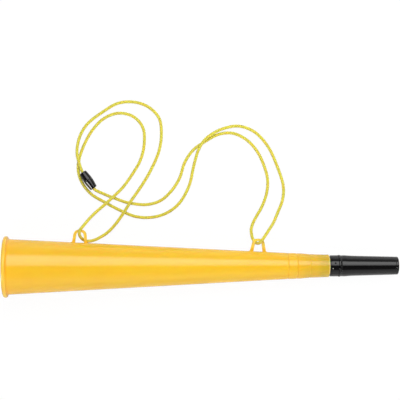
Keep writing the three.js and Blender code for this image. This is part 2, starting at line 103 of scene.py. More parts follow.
class Body(Enum):
    """The bodies that move by themselves."""

    HORN = "horn_body"
    MOUTHPIECE = "mouthpiece_body"
    MOUTH_TUBE = "mouth_tube_body"
    TONGUE = "tongue_body"
    PLUG = "plug_body"


class Shows(Enum):
    """What a lamp does: it lights and is mirrored, or only one of the two."""

    BOTH = "both"
    LIGHT = "light"
    MIRRORED = "mirrored"


class Slot(Enum):
    """The finishes that the record names."""

    YELLOW = "yellow_plastic"
    BLACK = "black_plastic"
    REED = "reed_plastic"
    TONGUE = "tongue_plastic"
    CORD = "yellow_cord"


# Node trees, written as plain maths.


class Signal:
    """One output socket. Arithmetic on it adds Math nodes to its tree."""

    def __init__(self, bench: "NodeBench", socket: bpy.types.NodeSocket) -> None:
        """Holds the socket and the bench that adds nodes beside it."""
        self.bench = bench
        self.socket = socket

    def sibling(self, name: str) -> "Signal":
        """Another output of the same node."""
        return Signal(self.bench, self.socket.node.outputs[name])

    def __add__(self, other: Number) -> "Signal":
        """Sum."""
        return self.bench.math("ADD", self, other)

    def __sub__(self, other: Number) -> "Signal":
        """Difference."""
        return self.bench.math("SUBTRACT", self, other)

    def __rsub__(self, other: Number) -> "Signal":
        """Difference, from the right."""
        return self.bench.math("SUBTRACT", other, self)

    def __mul__(self, other: Number) -> "Signal":
        """Product."""
        return self.bench.math("MULTIPLY", self, other)

    def __truediv__(self, other: Number) -> "Signal":
        """Quotient."""
        return self.bench.math("DIVIDE", self, other)

    def __pow__(self, other: Number) -> "Signal":
        """Power."""
        return self.bench.math("POWER", self, other)

    def __abs__(self) -> "Signal":
        """Size without sign."""
        return self.bench.math("ABSOLUTE", self)

    __radd__, __rmul__ = __add__, __mul__


class NodeBench:
    """Adds nodes to one tree and links them."""

    def __init__(self, tree: bpy.types.NodeTree) -> None:
        """Works on that tree."""
        self.tree = tree

    @staticmethod
    def _socket(sockets: Iterable[bpy.types.NodeSocket], key: Key) -> bpy.types.NodeSocket:
        """Finds a socket by its place, its identifier or its name.

        Args:
            sockets: The inputs or the outputs of a node.
            key: A place in them, an identifier or a name.

        Returns:
            The first socket in use that fits.
        """
        if isinstance(key, int):
            return sockets[key]
        by_identifier = [s for s in sockets if s.identifier == key and s.enabled]
        by_name = [s for s in sockets if s.name == key and s.enabled]
        return (by_identifier or by_name)[0]

    def feed(self, node: bpy.types.Node, values: Values) -> None:
        """Sets or links the inputs of a node.

        Args:
            node: The node to feed.
            values: A number, tuple or Signal for each input named.
        """
        for key, value in values.items():
            socket = self._socket(node.inputs, key)
            if isinstance(value, Signal):
                self.tree.links.new(value.socket, socket)
            else:
                socket.default_value = value

    def node(
        self,
        kind: str,
        settings: dict[str, Any] | None = None,
        values: Values | None = None,
        output: Key = 0,
    ) -> Signal:
        """Adds any node.

        Args:
            kind: The node's type.
            settings: Its own settings, set before its sockets.
            values: A number, tuple or Signal for each input named.
            output: The output to hand back.

        Returns:
            That output.
        """
        made = self.tree.nodes.new(kind)
        for name, value in (settings or {}).items():
            setattr(made, name, value)
        self.feed(made, values or {})
        return Signal(self, self._socket(made.outputs, output))

    def end_in(self, kind: str, surface: Signal) -> None:
        """Ends the tree in an output node."""
        self.feed(self.tree.nodes.new(kind), {0: surface})

    def math(self, operation: str, *values: Number) -> Signal:
        """A Math node on one or two values."""
        return self.node("ShaderNodeMath", {"operation": operation}, dict(enumerate(values)))

    def vector(self, operation: str, *values: Any, output: Key = 0) -> Signal:
        """A Vector Math node on two values."""
        return self.node("ShaderNodeVectorMath", {"operation": operation}, dict(enumerate(values)), output)

    def split(self, vector: Signal) -> tuple[Signal, Signal, Signal]:
        """The three parts of a vector."""
        first = self.node("ShaderNodeSeparateXYZ", values={"Vector": vector}, output="X")
        return first, first.sibling("Y"), first.sibling("Z")

    def mix(self, first: Any, second: Any, share: Number) -> Signal:
        """Mixes two colours.

        Args:
            first: Colour or Signal at a share of 0.
            second: Colour or Signal at a share of 1.
            share: How far towards the second.

        Returns:
            The mixed colour.
        """
        colours = [c if isinstance(c, Signal) else (*c, 1.0) for c in (first, second)]
        settings = {"data_type": "RGBA", "clamp_factor": True}
        values = {"Factor_Float": share, "A_Color": colours[0], "B_Color": colours[1]}
        return self.node("ShaderNodeMix", settings, values, "Result_Color")

    def band(self, value: Signal, start: float, stop: float) -> Signal:
        """A smooth step, 0 at start and 1 at stop."""
        values = {"Value": value, "From Min": start, "From Max": stop}
        return self.node("ShaderNodeMapRange", {"interpolation_type": "SMOOTHSTEP"}, values)

    def noise(self, place: Signal, scale: float, detail: float, stretch: Point | None = None) -> Signal:
        """Cloudy noise, between 0 and 1 and about 0.5.

        Args:
            place: Where it is read.
            scale: Waves in one unit of the place.
            detail: Octaves.
            stretch: What the place is multiplied by first.

        Returns:
            The noise.
        """
        if stretch:
            place = self.vector("MULTIPLY", place, stretch)
        return self.node("ShaderNodeTexNoise", values={"Vector": place, "Scale": scale, "Detail": detail})

    def bump(self, height: Signal) -> Signal:
        """Turns a height in millimetres into a normal."""
        return self.node("ShaderNodeBump", values={"Height": height, "Distance": MM}, output="Normal")


def cleared(owner: bpy.types.Material | bpy.types.World) -> NodeBench:
    """Empties the node tree of a material or a world.

    Args:
        owner: What the tree belongs to.

    Returns:
        A bench for the tree.
    """
    owner.use_nodes = True
    owner.node_tree.nodes.clear()
    return NodeBench(owner.node_tree)


def placed(name: str, data: Any) -> bpy.types.Object:
    """Makes an object in the scene.

    Args:
        name: The object's name.
        data: Its mesh, curve, lamp or camera.

    Returns:
        The object.
    """
    item = bpy.data.objects.new(name, data)
    bpy.context.scene.collection.objects.link(item)
    return item


# Solids: turned, cut from plate, joined and set in place.


def parabola(start: Pair, pull: Pair, stop: Pair, steps: int) -> list[Pair]:
    """A bend between two points.

    Args:
        start: Where it starts.
        pull: The corner that it bends towards.
        stop: Where it ends.
        steps: Straight pieces in it.

    Returns:
        Its points, with both ends.
    """
    points = []
    for step in range(steps + 1):
        share = step / steps
        weights = ((1 - share) ** 2, 2 * share * (1 - share), share**2)
        points.append(tuple(sum(w * p[i] for w, p in zip(weights, (start, pull, stop))) for i in (0, 1)))
    return points


def bend(points: list[Pair], pull: Pair, stop: Pair) -> None:
    """Carries an outline on from its last point, with a bend towards one point that ends at another."""
    points += parabola(points[-1], pull, stop, BEND_STEPS)[1:]


@dataclass(frozen=True)
class Corner:
    """A corner of a turned outline.

    Attributes:
        station: Place along the axis.
        radius: Distance from the axis.
        rounding: Length taken off each side of the corner by its round.
    """

    station: float
    radius: float
    rounding: float

    def softened(self, before: "Corner", after: "Corner") -> list[Pair]:
        """The round that replaces the corner.

        Args:
            before: The corner before it.
            after: The corner after it.

        Returns:
            The round's points, or the corner itself.
        """
        if self.rounding <= 0.0:
            return [(self.station, self.radius)]
        here = Vector((self.station, self.radius))
        ends = []
        for other in (before, after):
            run = Vector((other.station, other.radius)) - here
            ends.append(here + run.normalized() * min(self.rounding, CORNER_SHARE * run.length))
        return parabola(ends[0], here, ends[1], CORNER_STEPS)


@dataclass
class Profile:
    """An outline to turn about X, either closed on itself or with both ends on the axis.

    Attributes:
        corners: Its corners in order.
    """

    corners: list[Corner] = field(default_factory=list)

    def to(self, station: float, radius: float, rounding: float = 0.0) -> "Profile":
        """Adds a corner and hands the outline back."""
        self.corners.append(Corner(station, radius, rounding))
        return self

    def arc(self, middle: Pair, reach: Pair, quarters: Pair, steps: int) -> "Profile":
        """Adds an elliptical arc.

        Args:
            middle: Station and radius of its middle.
            reach: Half widths along and across the axis.
            quarters: Where it starts and ends, in quarter turns from +X.
            steps: Straight pieces in the arc.

        Returns:
            The outline.
        """
        start, stop = quarters
        for step in range(steps + 1):
            angle = (start + (stop - start) * step / steps) * math.pi / 2
            self.to(middle[0] + reach[0] * math.cos(angle), middle[1] + reach[1] * math.sin(angle))
        return self

    def is_closed(self) -> bool:
        """Whether the outline closes on itself rather than on the axis."""
        return self.corners[0].radius > 0 or self.corners[-1].radius > 0

    def outline(self, longest: float) -> list[Pair]:
        """The outline with its rounds made and its long runs divided.

        Args:
            longest: The longest run that stays whole.

        Returns:
            Points of station and radius.
        """
        count = len(self.corners)
        rounded = [
            point
            for index, corner in enumerate(self.corners)
            for point in corner.softened(self.corners[index - 1], self.corners[(index + 1) % count])
        ]
        following = rounded[1:] + rounded[:1] if self.is_closed() else rounded[1:]
        divided = []
        for here, after in zip(rounded, following):
            pieces = max(1, math.ceil(math.dist(here, after) / longest))
            for piece in range(pieces):
                share = piece / pieces
                divided.append(tuple(a + (b - a) * share for a, b in zip(here, after)))
        return divided if self.is_closed() else [*divided, rounded[-1]]


class Solid:
    """A closed mesh in millimetres."""

    def __init__(self, mesh: bpy.types.Mesh) -> None:
        """Holds the mesh."""
        self.mesh = mesh

    @classmethod
    def _from_bmesh(cls, bm: bmesh.types.BMesh) -> "Solid":
        """Merges doubles and turns the faces outwards.

        Args:
            bm: The faces, which are used up.

        Returns:
            The solid.
        """
        bmesh.ops.remove_doubles(bm, verts=bm.verts, dist=WELD)
        bmesh.ops.recalc_face_normals(bm, faces=bm.faces)
        mesh = bpy.data.meshes.new("solid")
        bm.to_mesh(mesh)
        bm.free()
        return cls(mesh)

    @classmethod
    def turned(cls, profile: Profile, sides: int, longest: float = 3.0) -> "Solid":
        """Turns an outline about X.

        Args:
            profile: The outline.
            sides: Facets round the axis.
            longest: The longest facet along the outline.

        Returns:
            The turned solid.
        """
        bm = bmesh.new()
        angles = [2 * math.pi * (side + 0.5) / sides for side in range(sides)]
        rings = []
        for station, radius in profile.outline(longest):
            places = [(station, radius * math.cos(angle), radius * math.sin(angle)) for angle in angles]
            rings.append([bm.verts.new(place) for place in (places if radius > WELD else places[:1])])
        following = rings[1:] + rings[:1] if profile.is_closed() else rings[1:]
        for here, after in zip(rings, following):
            for side in range(sides):
                beside = (side + 1) % sides
                loop = [here[side % len(here)], here[beside % len(here)]]
                loop += [after[beside % len(after)], after[side % len(after)]]
                corners = list(dict.fromkeys(loop))
                if len(corners) > 2:
                    bm.faces.new(corners)
        return cls._from_bmesh(bm)

    @classmethod
    def plate(cls, outline: Sequence[Pair], thickness: float, rounding: float = 0.0) -> "Solid":
        """Cuts an outline from plate that is centred on z = 0.

        Args:
            outline: Points of x and y.
            thickness: Of the plate.
            rounding: Of the edges on both faces.

        Returns:
            The plate.
        """
        bm = bmesh.new()
        low, high = ([bm.verts.new((x, y, z * thickness)) for x, y in outline] for z in (-0.5, 0.5))
        bm.faces.new(low[::-1])
        bm.faces.new(high)
        for index in range(len(low)):
            after = (index + 1) % len(low)
            bm.faces.new((low[index], low[after], high[after], high[index]))
        if rounding > 0:
            edges = [e for e in bm.edges if abs(e.verts[0].co.z - e.verts[1].co.z) < thickness / 2]
            bmesh.ops.bevel(
                bm, geom=edges, offset=rounding, segments=4, profile=0.5, affect="EDGES", clamp_overlap=True
            )
        return cls._from_bmesh(bm)

    @classmethod
    def block(cls, low: Point, high: Point) -> "Solid":
        """A box.

        Args:
            low: The corner with the least of each.
            high: The corner with the most of each.

        Returns:
            The box.
        """
        outline = [(low[0], low[1]), (high[0], low[1]), (high[0], high[1]), (low[0], high[1])]
        plate = cls.plate(outline, high[2] - low[2])
        return plate.moved(Matrix.Translation((0, 0, (high[2] + low[2]) / 2)))

    def moved(self, matrix: Matrix) -> "Solid":
        """Moves the solid and hands it back."""
        self.mesh.transform(matrix)
        return self

    def combined(self, other: "Solid", how: Joining) -> "Solid":
        """Joins two solids, or cuts one with the other.

        Args:
            other: The second solid, which is used up, as the first is.
            how: What becomes of the two.

        Returns:
            The new solid.
        """
        base, tool = placed("base", self.mesh), placed("tool", other.mesh)
        boolean = base.modifiers.new("boolean", "BOOLEAN")
        boolean.operation = how.value
        boolean.object = tool
        boolean.solver = "EXACT"
        graph = bpy.context.evaluated_depsgraph_get()
        mesh = bpy.data.meshes.new_from_object(base.evaluated_get(graph), depsgraph=graph)
        for item in (base, tool):
            used = item.data
            bpy.data.objects.remove(item)
            bpy.data.meshes.remove(used)
        return Solid(mesh)

    def piece(self, name: str, placing: Matrix, material: bpy.types.Material) -> bpy.types.Object:
        """Makes the finished object, with its place in its mesh.

        Args:
            name: The object's name.
            placing: From the solid's own axes to the frame.
            material: Its finish.

        Returns:
            The object.
        """
        self.mesh.transform(placing)
        self.mesh.materials.clear()
        self.mesh.materials.append(material)
        self.mesh.shade_smooth()
        self.mesh.set_sharp_from_angle(angle=SMOOTH_BELOW)
        self.mesh.name = name
        return placed(name, self.mesh)


def seat(item: bpy.types.Object, body: Body, slot: Slot, *nodes: str) -> None:
    """Puts a piece on its body and hides the solids that it stands for.

    Args:
        item: The finished object.
        body: The body that it rides on.
        slot: The finish that the record names; not used.
        *nodes: The solids.
    """
    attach(item, body.value)
    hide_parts(*nodes)
    LOG.info("%s: %d faces, on %s", item.name, len(item.data.polygons), body.value)


def find_joint(name: str) -> dict[str, Any]:
    """The record's joint of that name."""
    return next(joint for joint in frame["joints"] if joint["name"] == name)


@dataclass(frozen=True)
class HornAxis:
    """The line that the horn and its mouthpiece are turned about.

    Attributes:
        origin: Middle of the rim face, in metres.
        direction: From the bell to the lips.
    """

    origin: Vector
    direction: Vector

    @classmethod
    def from_frame(cls, horn_length: float) -> "HornAxis":
        """Finds the axis from the joint at the open end of the neck.

        Args:
            horn_length: From the rim face to that end, in millimetres.

        Returns:
            The axis.
        """
        joint = find_joint("mouthpiece_pull")
        direction = Vector(joint["axis"]).normalized()
        return cls(Vector(joint["pos_m"]) - direction * horn_length * MM, direction)

    def tilt(self) -> float:
        """Angle of the axis below the level, in radians."""
        return math.atan2(-self.direction.z, self.direction.x)

    def placing(self) -> Matrix:
        """From the horn's own millimetres to the frame."""
        turn = Matrix.Rotation(self.tilt(), 4, "Y")
        return Matrix.Translation(self.origin) @ turn @ Matrix.Scale(MM, 4)

    def local(self, bench: NodeBench) -> Signal:
        """Where a point of a surface is.

        Args:
            bench: For its nodes.

        Returns:
            The place, in the horn's own millimetres.
        """
        place = bench.node("ShaderNodeTexCoord", output="Object")
        turn = (0.0, self.tilt(), 0.0)
        values = {"Vector": place, "Location": self.origin, "Rotation": turn, "Scale": (MM, MM, MM)}
        return bench.node("ShaderNodeMapping", {"vector_type": "TEXTURE"}, values)


# Finishes.


@dataclass(frozen=True)
class Finish:
    """A named surface finish.

    Attributes:
        name: Of the material.
    """

    name: str

    def look(self, bench: NodeBench) -> Look:
        """Values of the shader's inputs, and the relief in millimetres; each finish has its own."""
        raise NotImplementedError

    def material(self) -> bpy.types.Material:
        """Makes the material.

        Returns:
            The material.
        """
        material = bpy.data.materials.new(self.name)
        material.use_nodes = True
        bench = NodeBench(material.node_tree)
        values, relief = self.look(bench)
        surface = material.node_tree.nodes["Principled BSDF"]
        bench.feed(surface, {**values, "Normal": bench.bump(relief)})
        return material


@dataclass(frozen=True)
class YellowPlastic(Finish):
    """Glossy yellow moulding, slightly translucent, which darkens over the black spigot.

    A reach says how far from its place, in millimetres, a shade starts and where it is full, and a
    share says how much of it there is then.

    Attributes:
        axis: The horn's axis.
        backed: First and last station of the black spigot behind the wall.
        hollow_station: Station of the hollow behind the bead, where its painted shade lies.
        neck_start: Station where the neck starts.
        grooves: Stations of the lines round the neck.
        cone: Radius of the plain cone at the rim face, and its drop for each millimetre along.
        deep: Deeper orange, of the clouds and of the painted shade in the hollow and the lines.
        olive: Shade over the black spigot.
        edge_glow: Light at the open end.
        standing_light: Painted light in what stands off the cone, such as the bead and the lugs.
        dim: Shade of the neck.
        cloud_level: Noise over which clouds darken the plastic.
        cloud_share: How much clouds darken it.
        flow_share: How much streaks along it do.
        olive_change: How much the olive shade changes with the clouds.
        scuff_range: Noise at which scuffs start and are full.
        scuff_dullness: Roughness that scuffs add.
        cloud_dullness: How much the roughness changes with the clouds.
    """

    axis: HornAxis
    backed: Pair
    hollow_station: float
    neck_start: float
    grooves: tuple[float, ...]
    cone: Pair
    colour: Colour = (0.97, 0.53, 0.03)
    deep: Colour = (0.90, 0.40, 0.012)
    olive: Colour = (0.58, 0.385, 0.024)
    edge_glow: Colour = (1.0, 0.85, 0.35)
    standing_light: Colour = (1.0, 0.66, 0.10)
    dim: Colour = (0.78, 0.46, 0.03)
    roughness: float = 0.15
    hollow_reach: Pair = (1.6, 0.2)
    line_reach: Pair = (0.8, 0.2)
    standing_reach: Pair = (0.4, 5.0)
    neck_reach: Pair = (2.0, 25.0)
    spigot_reach: Pair = (-4.0, 4.0)
    end_reach: Pair = (-0.5, -1.2)
    glow_reach: Pair = (-0.9, -0.4)
    parting_reach: Pair = (0.22, 0.05)
    hollow_share: float = 0.6
    line_share: float = 0.7
    standing_light_share: float = 0.9
    olive_share: float = 0.8
    cloud_level: float = 0.42
    cloud_share: float = 0.5
    flow_share: float = 0.3
    olive_change: float = 0.3
    scuff_range: Pair = (0.55, 0.75)
    scuff_dullness: float = 0.09
    cloud_dullness: float = 0.05
    parting_height: float = 0.03
    peel_height: float = 0.006
    grain_height: float = 0.0012

    def look(self, bench: NodeBench) -> Look:
        """Layers its shades from the plain plastic up.

        Args:
            bench: For its nodes.

        Returns:
            Values of the shader's inputs, and the relief in millimetres.
        """
        local = self.axis.local(bench)
        station, side, height = bench.split(local)
        first, last = self.backed
        cloud = bench.noise(local, scale=0.035, detail=3.0)
        flow = bench.noise(local, scale=1.0, detail=3.0, stretch=(0.02, 0.3, 0.3))
        # painted shade in the hollow behind the bead and in the lines round the neck
        hollow_shade = bench.band(abs(station - self.hollow_station), *self.hollow_reach) * self.hollow_share
        for groove in self.grooves:
            hollow_shade = hollow_shade + bench.band(abs(station - groove), *self.line_reach) * self.line_share
        standing = (side * side + height * height) ** 0.5 - self.cone[0] + station * self.cone[1]
        over = bench.band(station - first, *self.spigot_reach) * bench.band(station - last, *self.end_reach)
        uneven = (cloud - self.cloud_level) * self.cloud_share + (flow - MEAN_NOISE) * self.flow_share
        layers = (
            (self.deep, uneven),
            (self.deep, hollow_shade),
            # painted light on the bead and the lugs, which stand off the cone
            (self.standing_light, bench.band(standing, *self.standing_reach) * self.standing_light_share),
            (self.dim, bench.band(station - self.neck_start, *self.neck_reach)),
            (self.olive, over * (self.olive_share + (cloud - MEAN_NOISE) * self.olive_change)),
            (self.edge_glow, bench.band(station - last, *self.glow_reach)),
        )
        coloured = self.colour
        for colour, share in layers:
            coloured = bench.mix(coloured, colour, share)
        scratches = bench.noise(local, scale=1.0, detail=4.0, stretch=(0.15, 1.3, 1.3))
        scuffs = bench.band(scratches, *self.scuff_range)
        peel = bench.noise(local, scale=0.55, detail=1.0)
        grain = bench.noise(local, scale=6.0, detail=2.0)
        parting = bench.band(abs(height), *self.parting_reach)
        dullness = scuffs * self.scuff_dullness
        values = {
            "Base Color": coloured,
            "Roughness": self.roughness + dullness + (cloud - MEAN_NOISE) * self.cloud_dullness,
            "Subsurface Weight": 0.4,
            "Subsurface Radius": (1.0, 0.45, 0.1),
            "Subsurface Scale": 0.006,
        }
        return values, peel * self.peel_height + parting * self.parting_height + grain * self.grain_height


@dataclass(frozen=True)
class BlackPlastic(Finish):
    """Gloss black moulding with faint scuffs and dust.

    Attributes:
        colour: Of the clean plastic.
        worn: Of scuffs and dust.
        roughness: Of the clean plastic.
        peel_height: Of its faint waves, in millimetres.
        scuff_height: Of its scuffs.
        speck_range: Noise at which specks of dust start and are full.
        scuff_range: Noise at which scuffs do.
        speck_wear: Share of the worn colour in a speck.
        scuff_wear: Share of it in a scuff.
        wear_dullness: Roughness that wear adds.
        cloud_dullness: How much the roughness changes with the clouds.
    """

    colour: Colour = (0.0032, 0.0029, 0.0032)
    worn: Colour = (0.035, 0.034, 0.036)
    roughness: float = 0.1
    peel_height: float = 0.004
    scuff_height: float = 0.002
    speck_range: Pair = (0.70, 0.78)
    scuff_range: Pair = (0.58, 0.8)
    speck_wear: float = 0.5
    scuff_wear: float = 0.35
    wear_dullness: float = 0.25
    cloud_dullness: float = 0.08

    def look(self, bench: NodeBench) -> Look:
        """Scuffs and dusts it.

        Args:
            bench: For its nodes.

        Returns:
            Values of the shader's inputs, and the relief in millimetres.
        """
        place = bench.node("ShaderNodeTexCoord", output="Object")
        cloud = bench.noise(place, scale=90.0, detail=4.0)
        dust = bench.noise(place, scale=1500.0, detail=1.0)
        scratches = bench.noise(place, scale=700.0, detail=5.0, stretch=(0.3, 1.0, 1.0))
        peel = bench.noise(place, scale=650.0, detail=1.0)
        specks, rubbed_and_glint = bench.band(dust, *self.speck_range), bench.band(scratches, *self.scuff_range)
        wear = specks * self.speck_wear + rubbed_and_glint * self.scuff_wear * cloud
        dullness = wear * self.wear_dullness
        values = {
            "Base Color": bench.mix(self.colour, self.worn, wear),
            "Roughness": self.roughness + dullness + (cloud - MEAN_NOISE) * self.cloud_dullness,
        }
        return values, peel * self.peel_height + rubbed_and_glint * self.scuff_height


@dataclass(frozen=True)
class MarkedBlackPlastic(BlackPlastic):
    """The mouthpiece's black, with a painted glint on the nub, a dull dimple and a fillet behind its ridge.

    Attributes:
        axis: The horn's axis.
        nub: Middle of the nub, in the horn's own millimetres.
        nub_radius: Of the painted glint on the nub.
        dimple: Middle of the dimple.
        dimple_radius: Of the dull spot.
        fillet: First and last station of the fillet.
        fall: Height that the fillet drops.
        rubbed_and_glint: Colour of the painted glint on the nub.
        dullness: Roughness that the dimple adds.
        spot_shares: Where a spot starts and is full, in shares of its radius.
    """

    axis: HornAxis = field(kw_only=True)
    nub: Point = field(kw_only=True)
    nub_radius: float = field(kw_only=True)
    dimple: Point = field(kw_only=True)
    dimple_radius: float = field(kw_only=True)
    fillet: Pair = field(kw_only=True)
    fall: float = 1.0
    rubbed_and_glint: Colour = (0.62, 0.64, 0.56)
    dullness: float = 0.8
    spot_shares: Pair = (1.2, 0.8)

    def look(self, bench: NodeBench) -> Look:
        """Adds the two spots and the fillet to the plain black.

        Args:
            bench: For its nodes.

        Returns:
            Values of the shader's inputs, and the relief in millimetres.
        """
        values, relief = super().look(bench)
        local = self.axis.local(bench)
        spots = []
        for middle, radius in ((self.nub, self.nub_radius), (self.dimple, self.dimple_radius)):
            away = bench.vector("DISTANCE", local, middle, output="Value")
            spots.append(bench.band(away, *(radius * share for share in self.spot_shares)))
        nub, dimple = spots
        station, _, _ = bench.split(local)
        marked = {
            # painted highlight: a pale spot on the nub's top
            "Base Color": bench.mix(values["Base Color"], self.rubbed_and_glint, nub),
            "Roughness": values["Roughness"] + dimple * self.dullness,
        }
        return marked, relief - bench.band(station, *self.fillet) * self.fall


@dataclass(frozen=True)
class ReedPlastic(Finish):
    """Pale plastic of the reed: a moulded stem, or a thin sheet drawn along its length.

    Attributes:
        colour: Of the plastic.
        shade: Of its darker streaks.
        drawn: How much the streaks are drawn out along X.
        roughness: Of the plastic.
        streak_height: Relief of the streaks, in millimetres.
        streak_share: How much of the shade the streaks bring in.
        cloud_share: How much of it the clouds do.
        streak_dullness: How much the roughness changes with the streaks.
    """

    colour: Colour
    shade: Colour
    drawn: float
    roughness: float
    streak_height: float = 0.012
    streak_share: float = 0.4
    cloud_share: float = 0.3
    streak_dullness: float = 0.2

    def look(self, bench: NodeBench) -> Look:
        """Streaks and clouds it.

        Args:
            bench: For its nodes.

        Returns:
            Values of the shader's inputs, and the relief in millimetres.
        """
        place = bench.node("ShaderNodeTexCoord", output="Object")
        streaks = bench.noise(place, scale=900.0, detail=4.0, stretch=(1.0 / self.drawn, 1.0, 1.0))
        cloud = bench.noise(place, scale=160.0, detail=2.0)
        shaded = streaks * self.streak_share + cloud * self.cloud_share
        values = {
            "Base Color": bench.mix(self.colour, self.shade, shaded),
            "Roughness": self.roughness + (streaks - MEAN_NOISE) * self.streak_dullness,
            "Subsurface Weight": 0.1,
            "Subsurface Radius": (1.0, 0.8, 0.5),
            "Subsurface Scale": 0.001,
        }
        return values, streaks * self.streak_height


@dataclass(frozen=True)
class Braid:
    """How the cord is plaited, in millimetres.

    Attributes:
        strands: Strands each way round the cord.
        pitch: Length of one crossing along the cord.
        relief: Height of a strand over the hollows.
        threads: Threads in a strand.
        crown_power: Of the waves that make the crowns; less than 1 makes them fuller.
    """

    strands: int = 6
    pitch: float = 1.9
    relief: float = 0.06
    threads: int = 5
    crown_power: float = 0.6

    def crown(self, first: Signal, second: Signal) -> Signal:
        """Height of the strands' crowns.

        Args:
            first: Place among the strands that turn one way, where 1 is a strand.
            second: Place among those that turn the other way.

        Returns:
            0 in the hollows and 1 on the crowns.
        """
        bench = first.bench
        waves = [bench.math("SINE", line * math.pi) for line in (first, second)]
        return abs(waves[0] * waves[1]) ** self.crown_power


@dataclass(frozen=True)
class BraidedYarn(Finish):
    """Yellow braided cord with painted shade in its hollows and uneven dye.

    Attributes:
        braid: The way it is plaited.
        crown: Colour of the strands.
        hollow_shade: Painted shade between them.
        patch: Colour of patches where the dye is more orange.
        crown_height: Fine relief of a strand.
        thread_height: Relief of the threads in it.
        patch_range: Noise at which patches start and are full.
        patch_share: How much of the patches' colour they bring in.
        tone_share: How much of it differs from strand to strand.
        crown_share: Share of the strands' colour that goes with their crowns.
        thread_share: Share of it that goes with the threads.
        roughness: In the hollows.
        crown_gloss: Roughness that the crowns take off.
    """

    braid: Braid
    crown: Colour = (0.67, 0.65, 0.055)
    hollow_shade: Colour = (0.59, 0.53, 0.055)
    patch: Colour = (0.77, 0.58, 0.05)
    crown_height: float = 0.015
    thread_height: float = 0.008
    patch_range: Pair = (0.4, 0.65)
    patch_share: float = 0.7
    tone_share: float = 0.15
    crown_share: float = 0.85
    thread_share: float = 0.15
    roughness: float = 0.78
    crown_gloss: float = 0.12

    def look(self, bench: NodeBench) -> Look:
        """Colours strands, threads and patches and paints shade in the hollows, by the way round and along
        that its mesh keeps.

        Args:
            bench: For its nodes.

        Returns:
            Values of the shader's inputs, and the relief in millimetres.
        """
        lay = bench.node("ShaderNodeAttribute", {"attribute_name": "lay"}, output="Vector")
        cosine, sine, along = bench.split(lay)
        round_about = bench.math("ARCTAN2", sine, cosine) * (self.braid.strands / (2 * math.pi))
        first, second = round_about + along / self.braid.pitch, round_about - along / self.braid.pitch
        crown = self.braid.crown(first, second)
        floors = [bench.math("FLOOR", line) for line in (first, second)]
        ring = bench.math("FLOORED_MODULO", floors[0] + floors[1], 2.0 * self.braid.strands)
        cell = bench.node("ShaderNodeCombineXYZ", values={"X": floors[0] - floors[1], "Y": ring})
        tone = bench.node("ShaderNodeTexWhiteNoise", {"noise_dimensions": "2D"}, {"Vector": cell}, "Value")
        over = bench.math("FLOORED_MODULO", ring, 2.0)
        yarn = first * over + second * (1.0 - over)
        threads = bench.math("SINE", yarn * (2 * math.pi * self.braid.threads)) * 0.5 + 0.5
        place = bench.node("ShaderNodeTexCoord", output="Object")
        cloud = bench.noise(place, scale=230.0, detail=3.0)
        patches = bench.band(cloud, *self.patch_range) * self.patch_share + tone * self.tone_share
        strand = bench.mix(self.crown, self.patch, patches)
        raised = crown * self.crown_share + threads * self.thread_share
        values = {
            # painted shade in the hollows between the strands and the threads
            "Base Color": bench.mix(self.hollow_shade, strand, raised),
            "Roughness": self.roughness - crown * self.crown_gloss,
            "Subsurface Weight": 0.6,
            "Subsurface Radius": (1.0, 0.85, 0.25),
            "Subsurface Scale": 0.003,
            "Sheen Weight": 0.4,
            "Sheen Roughness": 0.5,
        }
        return values, crown * self.crown_height + threads * crown * self.thread_height


# The studio: table, lamps, sky and camera.


@dataclass(frozen=True)
class Softbox:
    """A flat lamp that faces the part, leaning over from straight above it.

    Attributes:
        name: Of the lamp.
        inner: Angle of its inner edge from straight up, in degrees.
        outer: Angle of its outer edge.
        radiance: Brightness of its face, where 1 is white.
        distance: From the part, in metres.
        length: Across the way that it leans, in metres.
        middle: How far the middle of its length is set along +X, in metres.
        heading: The way that it leans, in degrees from +X.
        shows: What it does.
    """

    name: str
    inner: float
    outer: float
    radiance: float
    distance: float = 0.85
    length: float = 0.9
    middle: float = 0.15
    heading: float = 90.0
    shows: Shows = Shows.BOTH

    def hang(self, target: Vector) -> None:
        """Hangs the lamp.

        Args:
            target: What it faces.
        """
        lean = math.radians((self.inner + self.outer) / 2)
        half = abs(math.radians(self.outer - self.inner)) / 2
        lamp = bpy.data.lights.new(self.name, "AREA")
        lamp.shape = "RECTANGLE"
        lamp.size = self.length
        lamp.size_y = 2 * self.distance * math.tan(half)
        lamp.energy = self.radiance * math.pi * lamp.size * lamp.size_y
        item = placed(self.name, lamp)
        turn = Matrix.Rotation(math.radians(self.heading) - math.pi / 2, 4, "Z")
        way = turn @ Vector((0, math.sin(lean), math.cos(lean)))
        item.location = target + way * self.distance + Vector((self.middle, 0, 0))
        item.rotation_euler = (turn @ Matrix.Rotation(-lean, 4, "X")).to_euler()
        item.visible_camera = False
        item.visible_glossy = self.shows is not Shows.LIGHT
        item.visible_diffuse = self.shows is not Shows.MIRRORED


